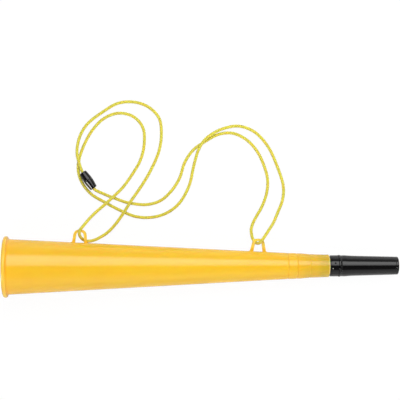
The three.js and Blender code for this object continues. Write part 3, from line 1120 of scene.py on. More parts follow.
@dataclass(frozen=True)
class Studio:
    """The table, the lamps, the pale surroundings and the camera above.

    Attributes:
        eye: The camera's place, in metres; it looks straight down.
        focal_pixels: Focal length in pixels of the photograph.
        picture: Width of the photograph in pixels.
        sensor: Width of the camera's sensor.
        sight: The nearest and the farthest that the camera sees, in metres.
        table: Half width of the table, in metres.
        table_height: Of the table's top, just under the part, in millimetres.
        table_grey: How much light the table gives back.
        table_glow: The white that it shows to the camera.
        whiteness: Share of the table's white that doesn't depend on the lamps.
        horizon: Brightness of the surroundings at the level of the table.
        zenith: Brightness straight above.
        target: What the lamps face, in metres.
        lamps: The lamps.
    """

    eye: Point = (-0.0019, 0.06075, 1.117)
    focal_pixels: float = 1139.0
    picture: float = 400.0
    sensor: float = 36.0
    sight: Pair = (0.01, 50.0)
    table: float = 6.0
    table_height: float = -0.05
    table_grey: float = 0.75
    table_glow: float = 1.03
    whiteness: float = 0.92
    horizon: float = 0.6
    zenith: float = 0.05
    target: Point = (0.0, 0.0, 0.02)
    lamps: tuple[Softbox, ...] = (
        Softbox("key softbox", 7.5, 54.0, 2.2),
        Softbox("key middle", 20.0, 48.0, 0.9, distance=0.8),
        Softbox("key fill", 8.0, 64.0, 1.05, distance=0.95, shows=Shows.LIGHT),
        Softbox("side fill", 25.0, 80.0, 1.22, length=1.7, middle=0.0, heading=-90.0, shows=Shows.LIGHT),
        Softbox("side panel", 45.0, 85.0, 0.42, distance=0.95, length=1.7, middle=0.0, heading=-90.0),
        Softbox(
            "far window", 42.0, 68.0, 18.0, length=0.22, middle=-0.11, heading=217.0, shows=Shows.MIRRORED
        ),
    )

    def camera(self) -> None:
        """Sets the camera where the photograph was taken from."""
        data = bpy.data.cameras.new("camera")
        data.sensor_fit = "HORIZONTAL"
        data.sensor_width = self.sensor
        data.lens = self.focal_pixels * self.sensor / self.picture
        data.clip_start, data.clip_end = self.sight
        bpy.context.scene.camera = placed("camera", data)
        bpy.context.scene.camera.location = self.eye

    def floor(self) -> None:
        """Lays the pale table, which is white to the eye and keeps a faint shadow."""
        half, height = self.table, self.table_height * MM
        mesh = bpy.data.meshes.new("table")
        corners = ((-1, -1), (1, -1), (1, 1), (-1, 1))
        mesh.from_pydata([(x * half, y * half, height) for x, y in corners], [], [(0, 1, 2, 3)])
        material = bpy.data.materials.new("pale table")
        bench = cleared(material)
        seen = bench.node("ShaderNodeLightPath", output="Is Camera Ray")
        grey = (self.table_grey, self.table_grey, self.table_grey, 1.0)
        matt = bench.node("ShaderNodeBsdfDiffuse", values={"Color": grey})
        white = bench.node("ShaderNodeEmission", values={"Color": WHITE, "Strength": self.table_glow})
        surface = bench.node("ShaderNodeMixShader", values={0: seen * self.whiteness, 1: matt, 2: white})
        bench.end_in("ShaderNodeOutputMaterial", surface)
        mesh.materials.append(material)
        placed("table", mesh)

    def surroundings(self) -> None:
        """Makes the room: pale at the level of the table and dark above, as over a copy stand."""
        world = bpy.data.worlds.new("studio")
        bench = cleared(world)
        direction = bench.node("ShaderNodeTexCoord", output="Generated")
        _, _, up = bench.split(direction)
        level = (1.0 - bench.math("MAXIMUM", up, 0.0)) ** 2.0
        seen = bench.node("ShaderNodeLightPath", output="Is Camera Ray")
        strength = bench.math("MAXIMUM", self.zenith + level * (self.horizon - self.zenith), seen)
        sky = bench.node("ShaderNodeBackground", values={"Color": WHITE, "Strength": strength})
        bench.end_in("ShaderNodeOutputWorld", sky)
        bpy.context.scene.world = world

    def set_up(self) -> None:
        """Sets up all of it."""
        bpy.context.scene.view_settings.view_transform = "Standard"
        self.camera()
        self.floor()
        self.surroundings()
        for lamp in self.lamps:
            lamp.hang(Vector(self.target))
        LOG.info("studio: %d lamps", len(self.lamps))


# The horn: cone, bead, stepped neck and two cord lugs.


@dataclass(frozen=True)
class Lug:
    """An arch for the cord, moulded on the side of the horn.

    Attributes:
        station: Its middle, from the rim face.
        base_width: Over the feet, above their webs.
        shoulder_width: Over the legs where the crown starts.
        height: From the horn's wall to the crown.
        crown: Height of the rounded top.
        leg_width: Of each leg.
        crown_width: Of the arch at its top.
        flare: Web that spreads each foot.
        thickness: Across the arch.
    """

    station: float
    base_width: float
    shoulder_width: float
    height: float
    crown: float
    leg_width: float
    crown_width: float
    flare: float
    thickness: float = 2.4

    def outline(self, root: float) -> list[Pair]:
        """Its side view, with feet on y = 0.

        Args:
            root: How deep the feet sit in the wall.

        Returns:
            Points of x and y.
        """
        foot, shoulder = self.base_width / 2, self.shoulder_width / 2
        shoulder_height = self.height - self.crown
        half = [(foot + self.flare, -root), (foot + self.flare, 0.0)]
        bend(half, (foot, 0.0), (foot, self.flare))
        half.append((shoulder, shoulder_height))
        bend(half, (shoulder, self.height), (0.0, self.height))
        outer = half + [(-x, y) for x, y in half[-2::-1]]
        inner_foot, inner_shoulder = foot - self.leg_width, shoulder - self.leg_width
        inner_top = self.height - self.crown_width
        inside = [(-inner_foot, -root), (-inner_foot, 0.0), (-inner_shoulder, shoulder_height)]
        bend(inside, (-inner_shoulder, inner_top), (0.0, inner_top))
        return outer + inside + [(-x, y) for x, y in inside[-2::-1]]


@dataclass(frozen=True)
class Rim:
    """The rolled bead round the bell.

    Attributes:
        face_width: Of the flat band at the front.
        bead_stop: Where the bead's arc ends, in quarter turns from +X.
        back_step_share: Share of the bead's height at which its back meets the fillet.
        foot_depth: How far the bead's foot lies under the end of its arc.
        fillet_run_share: Place of the fillet's middle, in shares of its length.
        fillet_rise_share: Height of its middle, in shares of its length.
        hollow_back: How far behind the bead the painted shade of the hollow is darkest.
    """

    diameter: float = 58.8
    bead_width: float = 4.0
    face_width: float = 1.7
    mouth_rounding: float = 1.3
    bead_stop: float = 0.08
    back_step_share: float = 0.3
    foot_depth: float = 0.1
    foot_rounding: float = 0.3
    back_fillet: float = 1.7
    fillet_run_share: float = 0.33
    fillet_rise_share: float = 0.17
    fillet_rounding: float = 0.8
    run_out_rounding: float = 1.0
    hollow_back: float = 0.4


@dataclass
class Horn:
    """The yellow moulding.

    Attributes:
        rim: The bead round the bell.
        wall: Of the cone.
        bore: Of the seat in the neck.
        end_edge: Rounding of the inner edge of the open end.
        lug_root: How deep the lugs' feet sit in the wall.
        sides: Facets round the axis.
        lugs: The two cord lugs.
        neck_shares: Outline of the neck, in shares of its length and of its drop in radius.
        groove_shares: Places of the lines round the neck, in shares of its length.
    """

    rim: Rim = Rim()
    cone_length: float = 270.6
    front_diameter: float = 53.5
    back_diameter: float = 25.4
    wall: float = 1.8
    neck_length: float = 41.9
    neck_end_diameter: float = 21.9
    neck_rounding: float = 0.9
    bore: float = 18.7
    seat_depth: float = 12.5
    end_rounding: float = 0.8
    end_edge: float = 0.2
    lug_root: float = 1.2
    lug_rounding: float = 0.55
    sides: int = 192
    lugs: tuple[Lug, ...] = (
        Lug(72.0, 14.0, 13.2, 12.6, 7.4, 2.8, 2.4, 2.2),
        Lug(243.6, 15.0, 11.8, 12.4, 4.6, 2.7, 2.3, 1.9),
    )
    neck_shares: tuple[Pair, ...] = (
        (0, 0), (0.026, 0.06), (0.036, 0.3), (0.046, 0.1), (0.12, 0.1), (0.21, 0.16), (0.242, 0.2),
        (0.254, 0.44), (0.266, 0.27), (0.34, 0.25), (0.405, 0.42), (0.476, 0.58), (0.54, 0.7),
        (0.552, 0.9), (0.564, 0.75), (0.68, 0.84), (0.78, 0.925), (0.885, 1),
    )
    groove_shares: tuple[float, ...] = (0.036, 0.254, 0.552)

    def length(self) -> float:
        """From the rim face to the open end of the neck."""
        return self.cone_length + self.neck_length

    def slope(self) -> float:
        """Drop in radius for each millimetre along the cone."""
        return (self.front_diameter - self.back_diameter) / 2 / self.cone_length

    def radius_at(self, station: float) -> float:
        """Outside radius of the plain cone."""
        return self.front_diameter / 2 - self.slope() * station

    def profile(self) -> Profile:
        """The outline of its wall.

        Returns:
            The outline, from the mouth's inner edge round the outside and back inside.
        """
        rim, half = self.rim, self.rim.bead_width / 2
        base = self.radius_at(0) - self.wall + rim.mouth_rounding + rim.face_width
        top = rim.diameter / 2
        foot = self.radius_at(rim.bead_width) + (top - self.radius_at(0)) * rim.back_step_share
        run_out = rim.bead_width + rim.back_fillet
        middle = rim.bead_width + rim.back_fillet * rim.fillet_run_share
        rise = rim.back_fillet * rim.fillet_rise_share
        profile = Profile().arc((half, base), (half, top - base), (2, 1), BEAD_STEPS)
        profile.arc((half, foot), (half, top - foot), (1, rim.bead_stop), BEAD_STEPS)
        profile.to(rim.bead_width, foot - rim.foot_depth, rim.foot_rounding)
        profile.to(middle, self.radius_at(run_out) + rise, rim.fillet_rounding)
        profile.to(run_out, self.radius_at(run_out), rim.run_out_rounding)
        start, end, bore = self.back_diameter / 2, self.neck_end_diameter / 2, self.bore / 2
        for along, drop in self.neck_shares:
            station = self.cone_length + along * self.neck_length
            profile.to(station, start - drop * (start - end), self.neck_rounding)
        rounding, length = self.end_rounding, self.length()
        profile.arc((length - rounding, end - rounding), (rounding, rounding), (1, 0), EDGE_STEPS)
        profile.to(length, bore + rounding / 2, self.end_edge)
        profile.to(length - rounding / 2, bore, self.end_edge).to(length - self.seat_depth, bore)
        profile.to(self.cone_length, start - self.wall)
        rounding = rim.mouth_rounding
        mouth = self.radius_at(rounding) - self.wall + rounding
        return profile.arc((rounding, mouth), (rounding, rounding), (3, 2), EDGE_STEPS)

    def lug(self, lug: Lug) -> Solid:
        """Makes a lug on the side of the cone, following its slope.

        Args:
            lug: Its sizes.

        Returns:
            The lug.
        """
        solid = Solid.plate(lug.outline(self.lug_root), lug.thickness, self.lug_rounding)
        seat_at = Matrix.Translation((lug.station, self.radius_at(lug.station), 0))
        return solid.moved(seat_at @ Matrix.Rotation(-math.atan(self.slope()), 4, "Z"))

    def plastic(self, name: str, axis: HornAxis, spigot: float) -> Finish:
        """Its yellow plastic, with every shade in its place.

        Args:
            name: Of the material.
            axis: The horn's axis.
            spigot: Length of the black spigot in the neck.

        Returns:
            The finish.
        """
        return YellowPlastic(
            name,
            axis,
            backed=(self.length() - spigot, self.length()),
            hollow_station=self.rim.bead_width + self.rim.hollow_back,
            neck_start=self.cone_length,
            grooves=tuple(self.cone_length + share * self.neck_length for share in self.groove_shares),
            cone=(self.front_diameter / 2, self.slope()),
        )

    def build(self, axis: HornAxis, finish: Finish) -> None:
        """Makes the moulding and seats it.

        Args:
            axis: The horn's axis.
            finish: Its plastic.
        """
        solid = Solid.turned(self.profile(), self.sides)
        for lug in self.lugs:
            solid = solid.combined(self.lug(lug), Joining.ADD)
        item = solid.piece("horn_moulding", axis.placing(), finish.material())
        seat(item, Body.HORN, Slot.YELLOW, "horn_cone")


# The mouthpiece: its socket in the neck, and the mouth tube pushed over the socket.


@dataclass(frozen=True)
class MouldMark:
    """A round mark on the collar.

    Attributes:
        diameter: Of the mark.
        height: Above the collar; below it for a dimple.
        along: From the collar's rear face.
        turn: Degrees from the top, towards the lugs.
        sides: Facets round it.
        facet: The longest facet along it.
    """

    diameter: float
    height: float
    along: float
    turn: float
    sides: int = 32
    facet: float = 0.5


@dataclass
class Mouthpiece:
    """The black socket and mouth tube.

    Attributes:
        horn: What it is pushed into.
        dimple: Mark of the mould's gate.
        nub: Mark of its ejector.
        necking: Diameter between the ridge and the hip.
        fillet_reach: Where the fillet behind the ridge starts and ends, from the ridge's end.
        sides: Facets round the axis.
        facet: The longest facet along the tube.
        taper_shares: Outline of the tube's taper, in shares of its length and of its drop in radius.
    """

    horn: Horn
    dimple: MouldMark = MouldMark(1.7, -0.5, 4.9, 17.5)
    nub: MouldMark = MouldMark(0.9, 0.25, 2.5, -11.0)
    collar_length: float = 8.5
    collar_diameter: float = 20.5
    rear_groove_length: float = 1.0
    rear_groove_depth: float = 0.8
    edge: float = 0.3
    rear_spigot: float = 9.8
    front_spigot: float = 11.4
    socket_wall: float = 1.6
    reed_seat: float = 17.6
    tube_length: float = 58.4
    ridge_diameter: float = 21.1
    ridge_width: float = 1.9
    ridge_edge: float = 0.45
    necking: float = 20.15
    necking_rounding: float = 1.0
    fillet_reach: Pair = (-0.8, 1.0)
    hip_diameter: float = 20.5
    hip_along: float = 5.4
    taper_rounding: float = 2.0
    lips_diameter: float = 17.4
    lips_groove_width: float = 0.6
    lips_groove_depth: float = 0.22
    lips_groove_edge: float = 0.1
    lips_ring_width: float = 2.3
    lips_ring_edge: float = 0.15
    lips_rounding: float = 0.8
    mouth_bore: float = 13.2
    mouth_bore_rounding: float = 0.5
    tube_wall: float = 1.75
    inner_rounding: float = 0.5
    sides: int = 160
    facet: float = 2.0
    taper_shares: tuple[Pair, ...] = (
        (0, 0), (0.04, 0.06), (0.08, 0.18), (0.14, 0.3), (0.26, 0.42), (0.46, 0.58), (0.73, 0.79), (1, 1),
    )

    def __post_init__(self) -> None:
        """Works out the stations and the diameters that follow from the sizes."""
        self.collar_start = self.horn.length() + CLEARANCE
        self.collar_end = self.collar_start + self.collar_length
        self.seam = self.collar_end + CLEARANCE
        self.ridge_end = self.seam + self.ridge_width
        self.spigot_end = self.collar_end + self.front_spigot
        self.reed_ledge = self.spigot_end - self.reed_seat
        self.tube_end = self.seam + self.tube_length
        self.tube_seat = self.hip_diameter - 2 * self.tube_wall
        self.front_diameter = self.tube_seat - 2 * CLEARANCE
        self.reed_seat_diameter = self.front_diameter - 2 * self.socket_wall

    def socket_profile(self) -> Profile:
        """Outline of the socket.

        Returns:
            Rear spigot, collar, front spigot and the bore for the reed.
        """
        collar, edge = self.collar_diameter / 2, self.edge
        groove, groove_end = collar - self.rear_groove_depth, self.collar_start + self.rear_groove_length
        rear, rear_end = self.horn.bore / 2 - CLEARANCE, self.horn.length() - self.rear_spigot
        front, reed_seat = self.front_diameter / 2, self.reed_seat_diameter / 2
        bore = reed_seat - self.socket_wall / 2
        profile = Profile().to(rear_end, rear, edge).to(self.collar_start, rear)
        profile.to(self.collar_start, groove, edge / 2).to(groove_end, groove, edge / 3)
        profile.to(groove_end + edge / 2, collar, edge / 2).to(self.collar_end, collar, edge)
        profile.to(self.collar_end, front).to(self.spigot_end, front, edge)
        profile.to(self.spigot_end, reed_seat, edge / 2).to(self.reed_ledge, reed_seat)
        return profile.to(self.reed_ledge, bore).to(rear_end, bore, edge / 2)

    def tube_profile(self) -> Profile:
        """Outline of the tube.

        Returns:
            Ridge, hip, taper, groove, lips ring, mouth bore and seat.
        """
        ridge, necking, hip = self.ridge_diameter / 2, self.necking / 2, self.hip_diameter / 2
        lips, mouth, seat_radius = self.lips_diameter / 2, self.mouth_bore / 2, self.tube_seat / 2
        hip_station, seat_end = self.seam + self.hip_along, self.spigot_end + CLEARANCE
        ring, end = self.tube_end - self.lips_ring_width, self.tube_end
        groove = ring - self.lips_groove_width
        edge, groove_edge = self.ridge_edge, self.lips_groove_edge
        profile = Profile().to(self.seam, ridge, edge).to(self.ridge_end - edge / 2, ridge, edge)
        profile.to(self.ridge_end, necking + edge / 3, edge / 2)
        profile.to((self.ridge_end + hip_station) / 2, necking, self.necking_rounding)
        for along, drop in self.taper_shares:
            station = hip_station + along * (groove - hip_station)
            profile.to(station, hip - drop * (hip - lips), self.taper_rounding if along < 1 else groove_edge)
        profile.to(groove + self.lips_groove_width / 2, lips - self.lips_groove_depth, 2 * groove_edge)
        profile.to(ring, lips, self.lips_ring_edge)
        rounding, inner = self.lips_rounding, self.inner_rounding
        profile.arc((end - rounding, lips - rounding), (rounding, rounding), (1, 0), TIP_STEPS)
        profile.arc((end - inner, mouth + inner), (inner, inner), (4, 3), EDGE_STEPS)
        profile.to(seat_end + self.tube_wall, (seat_radius + mouth) / 2, self.mouth_bore_rounding)
        return profile.to(seat_end, seat_radius).to(self.seam, seat_radius, edge / 3)

    def peg(self, mark: MouldMark) -> Solid:
        """A short round peg across the collar's wall, to add as a nub or to cut as a dimple.

        Args:
            mark: The mark that it makes.

        Returns:
            The peg.
        """
        collar, radius = self.collar_diameter / 2, mark.diameter / 2
        low, high, rounding = collar - self.socket_wall / 2, collar + mark.height, radius / 2
        if mark.height < 0:  # a dimple has a round bottom, and its cut runs out of the collar
            low, high, rounding = collar + mark.height, collar + OVERRUN, radius
        profile = Profile().to(low, 0).to(low, radius, rounding).to(high, radius, rounding).to(high, 0)
        stand = Matrix.Rotation(math.radians(-mark.turn), 4, "X") @ Matrix.Rotation(-math.pi / 2, 4, "Y")
        foot = Matrix.Translation((self.collar_start + mark.along, 0, 0))
        return Solid.turned(profile, mark.sides, mark.facet).moved(foot @ stand)

    def spot(self, mark: MouldMark) -> Point:
        """The middle of a mark: on top of a nub, and half way down a dimple.

        Args:
            mark: The mark.

        Returns:
            The place, in the horn's own millimetres.
        """
        reach = self.collar_diameter / 2 + (mark.height if mark.height > 0 else mark.height / 2)
        angle = math.radians(mark.turn)
        return (self.collar_start + mark.along, reach * math.sin(angle), reach * math.cos(angle))

    def plastic(self, name: str, axis: HornAxis) -> Finish:
        """Its black plastic, with the marks and the fillet in their places.

        Args:
            name: Of the material.
            axis: The horn's axis.

        Returns:
            The finish.
        """
        return MarkedBlackPlastic(
            name,
            axis=axis,
            nub=self.spot(self.nub),
            nub_radius=self.nub.diameter / 2,
            dimple=self.spot(self.dimple),
            dimple_radius=self.dimple.diameter / 2,
            fillet=tuple(self.ridge_end + reach for reach in self.fillet_reach),
        )

    def build(self, axis: HornAxis, finish: Finish) -> None:
        """Makes both pieces and seats them.

        Args:
            axis: The horn's axis.
            finish: Their plastic.
        """
        placing, black = axis.placing(), finish.material()
        socket = Solid.turned(self.socket_profile(), self.sides)
        socket = socket.combined(self.peg(self.dimple), Joining.CUT).combined(self.peg(self.nub), Joining.ADD)
        item = socket.piece("socket_moulding", placing, black)
        seat(item, Body.MOUTHPIECE, Slot.BLACK, "mouthpiece_socket")
        tube = Solid.turned(self.tube_profile(), self.sides, self.facet)
        item = tube.piece("mouth_tube_moulding", placing, black)
        seat(item, Body.MOUTH_TUBE, Slot.BLACK, "mouth_tube")


# The reed: a plugged stem with a slotted table, a thin tongue over it, and its clamp.


@dataclass
class Reed:
    """The beating reed in the mouthpiece.

    Attributes:
        mouthpiece: What it is pushed into.
        end_wall: Of the stem's closed end.
        flat_height: Of the table over the axis.
        tongue_along: From the plug to the tongue.
        tongue_lift: Of the tongue's free end over the table.
        tongue_edge: Rounding of the tongue's edges.
        sides: Facets round the axis.
    """

    mouthpiece: Mouthpiece
    plug_length: float = 10.0
    stem_diameter: float = 9.6
    stem_length: float = 26.0
    channel_diameter: float = 5.8
    end_wall: float = 2.4
    flat_height: float = 1.3
    slot_width: float = 4.2
    slot_length: float = 17.0
    slot_from_tip: float = 3.6
    tongue_thickness: float = 0.45
    tongue_width: float = 6.6
    tongue_length: float = 24.0
    tongue_along: float = 0.9
    tongue_lift: float = 1.1
    tongue_edge: float = 0.09
    clamp_length: float = 4.4
    clamp_along: float = 0.6
    clamp_diameter: float = 12.2
    edge: float = 0.25
    sides: int = 96

    def __post_init__(self) -> None:
        """Works out the stations that follow from the sizes."""
        self.plug_start = self.mouthpiece.reed_ledge + CLEARANCE
        self.stem_start = self.plug_start + self.plug_length
        self.stem_end = self.stem_start + self.stem_length
        self.clamp_start = self.stem_start + self.clamp_along
        self.clamp_end = self.clamp_start + self.clamp_length

    def stem(self) -> Solid:
        """Makes the stem.

        Returns:
            The stem with its channel, flat table and slot.
        """
        stem, channel, edge = self.stem_diameter / 2, self.channel_diameter / 2, self.edge
        plug = self.mouthpiece.reed_seat_diameter / 2 - CLEARANCE
        end, half_slot = self.stem_end, self.slot_width / 2
        profile = Profile().to(self.plug_start, channel, edge).to(self.plug_start, plug, edge)
        profile.to(self.stem_start, plug, edge).to(self.stem_start, stem, edge)
        profile.arc((end - stem / 2, 0), (stem / 2, stem), (1, 0), TIP_STEPS)
        profile.to(end - self.end_wall, 0).to(end - self.end_wall, channel, edge)
        table = Solid.block((self.stem_start, -plug, self.flat_height), (end + OVERRUN, plug, plug))
        slot_end = end - self.slot_from_tip
        slot_top = (slot_end, half_slot, self.flat_height + OVERRUN)
        slot = Solid.block((slot_end - self.slot_length, -half_slot, 0), slot_top)
        return Solid.turned(profile, self.sides).combined(table, Joining.CUT).combined(slot, Joining.CUT)

    def tongue(self) -> Solid:
        """Makes the tongue.

        Returns:
            The tongue, flat where it is clamped and then curling gently off the table.
        """
        base, start = self.flat_height + CLEARANCE, self.stem_start + self.tongue_along
        end = start + self.tongue_length
        under = [(start, base), (self.clamp_end, base)]
        bend(under, ((self.clamp_end + end) / 2, base), (end, base + self.tongue_lift))
        over = [(x, y + self.tongue_thickness) for x, y in reversed(under)]
        solid = Solid.plate(under + over, self.tongue_width, self.tongue_edge)
        return solid.moved(Matrix.Rotation(math.pi / 2, 4, "X"))

    def clamp(self) -> Solid:
        """Makes the clamp.

        Returns:
            A sleeve whose hole has a flat that presses on the tongue.
        """
        start, end, edge = self.clamp_start, self.clamp_end, self.edge
        hole, outside = self.stem_diameter / 2 + CLEARANCE, self.clamp_diameter / 2
        flat = self.flat_height + self.tongue_thickness + 2 * CLEARANCE
        sleeve = Profile().to(start, 0).to(start, outside, edge).to(end, outside, edge).to(end, 0)
        low, high = start - OVERRUN, end + OVERRUN
        core = Profile().to(low, 0).to(low, hole).to(high, hole).to(high, 0)
        above = Solid.block((low - OVERRUN, -outside, flat), (high + OVERRUN, outside, outside))
        opening = Solid.turned(core, self.sides).combined(above, Joining.CUT)
        return Solid.turned(sleeve, self.sides).combined(opening, Joining.CUT)

    def build(self, axis: HornAxis, stem: Finish, sheet: Finish, clamp: Finish) -> None:
        """Makes the three pieces and seats them.

        Args:
            axis: The horn's axis.
            stem: Finish of the stem.
            sheet: Finish of the tongue.
            clamp: Finish of the clamp.
        """
        for solid, name, finish, body, slot, node in (
            (self.stem(), "reed_stem", stem, Body.MOUTHPIECE, Slot.REED, "reed_shallot"),
            (self.tongue(), "reed_tongue_strip", sheet, Body.TONGUE, Slot.TONGUE, "reed_tongue"),
            (self.clamp(), "reed_clamp_sleeve", clamp, Body.MOUTHPIECE, Slot.BLACK, "reed_clamp"),
        ):
            seat(solid.piece(name, axis.placing(), finish.material()), body, slot, node)


# The barrel connector: a socket half and a plug half, with the cord's melted ends inside.


@dataclass
class Connector:
    """The black barrel that closes the neck cord.

    Attributes:
        length: Over both halves.
        hip_diameter: At the seam.
        seat_bore: Of the wide seat in the socket half.
        snap_height: Of the ring on the spigot.
        inner_bore: Round the cord's melted ends.
        stop_diameter: Of a melted end.
        sides: Facets round its axis.
        facet: The longest facet along it.
        barrel_shares: Outline of a half, in shares of its length and of its drop in radius.
    """

    length: float = 18.8
    hip_diameter: float = 9.0
    end_diameter: float = 7.4
    barrel_rounding: float = 0.8
    end_rounding: float = 0.7
    end_wall: float = 1.6
    seat_bore: float = 6.6
    seat_depth: float = 5.0
    spigot_diameter: float = 5.7
    spigot_length: float = 4.3
    snap_height: float = 0.15
    snap_length: float = 1.1
    inner_bore: float = 4.5
    stop_diameter: float = 4.0
    stop_length: float = 1.9
    cord_diameter: float = 3.0
    edge: float = 0.2
    sides: int = 96
    facet: float = 1.0
    stop_sides: int = 48
    stop_facet: float = 0.4
    barrel_shares: tuple[Pair, ...] = ((0, 0), (0.12, 0.02), (0.3, 0.2), (0.6, 0.55), (0.85, 0.9))

    def placing(self) -> Matrix:
        """From its own millimetres to the frame.

        Returns:
            The place of its middle, with +X towards the socket half.
        """
        joint = find_joint("connector_release")
        turn = Matrix.Rotation(math.atan2(-joint["axis"][1], -joint["axis"][0]), 4, "Z")
        return Matrix.Translation(joint["pos_m"]) @ turn @ Matrix.Scale(MM, 4)

    def half(self) -> Profile:
        """Outline of a half barrel.

        Returns:
            The outline, from its seam to the hole in its end wall.
        """
        seam, end, rounding = CLEARANCE / 2, self.length / 2, self.end_rounding
        hip, tip, hole = self.hip_diameter / 2, self.end_diameter / 2, self.cord_diameter / 2 + CLEARANCE
        profile = Profile()
        for along, drop in self.barrel_shares:
            softness = self.barrel_rounding if along else self.edge
            profile.to(seam + along * (end - seam), hip - drop * (hip - tip), softness)
        profile.arc((end - rounding, tip - rounding), (rounding, rounding), (1, 0), EDGE_STEPS)
        profile.to(end, hole, self.edge).to(end - self.end_wall, hole)
        return profile.to(end - self.end_wall, self.inner_bore / 2)

    def socket_half(self) -> Solid:
        """Makes the half with the wide seat.

        Returns:
            The half, towards +X.
        """
        seam, bore = CLEARANCE / 2, self.seat_bore / 2
        profile = self.half().to(seam + self.seat_depth, self.inner_bore / 2)
        profile.to(seam + self.seat_depth, bore).to(seam, bore, self.edge)
        return Solid.turned(profile, self.sides, self.facet)

    def plug_half(self) -> Solid:
        """Makes the half with the spigot and its snap ring.

        Returns:
            The half, towards -X.
        """
        seam, spigot, edge = CLEARANCE / 2, self.spigot_diameter / 2, self.edge
        tip = seam - self.spigot_length
        profile = self.half().to(tip, self.inner_bore / 2, edge).to(tip, spigot, edge)
        profile.to(tip + self.snap_length / 2, spigot + self.snap_height, edge)
        profile.to(tip + self.snap_length, spigot, edge).to(seam, spigot, edge / 2)
        return Solid.turned(profile, self.sides, self.facet).moved(Matrix.Rotation(math.pi, 4, "Z"))

    def stop(self) -> Solid:
        """Makes a melted end of the cord.

        Returns:
            The one in the socket half.
        """
        radius = self.stop_diameter / 2
        end = self.length / 2 - self.end_wall - CLEARANCE
        start = end - self.stop_length
        profile = Profile().to(start, 0).to(start, radius, radius / 2).to(end, radius, radius / 3).to(end, 0)
        return Solid.turned(profile, self.stop_sides, self.stop_facet)

    def build(self, shell: Finish, cord: Finish) -> dict[Body, list[bpy.types.Object]]:
        """Makes the halves and the stops and seats them.

        Args:
            shell: Finish of the halves.
            cord: Finish of the melted ends.

        Returns:
            The pieces on each body.
        """
        placing, black, melted = self.placing(), shell.material(), cord.material()
        plug_stop = self.stop().moved(Matrix.Rotation(math.pi, 4, "Z"))
        made: dict[Body, list[bpy.types.Object]] = {Body.HORN: [], Body.PLUG: []}
        for solid, name, material, body, slot, node in (
            (self.socket_half(), "connector_socket_half", black, Body.HORN, Slot.BLACK, "connector_socket"),
            (self.plug_half(), "connector_plug_half", black, Body.PLUG, Slot.BLACK, "connector_plug"),
            (self.stop(), "cord_stop_socket_end", melted, Body.HORN, Slot.CORD, "cord_stop_socket"),
            (plug_stop, "cord_stop_plug_end", melted, Body.PLUG, Slot.CORD, "cord_stop_plug"),
        ):
            item = solid.piece(name, placing, material)
            seat(item, body, slot, node)
            made[body].append(item)
        return made
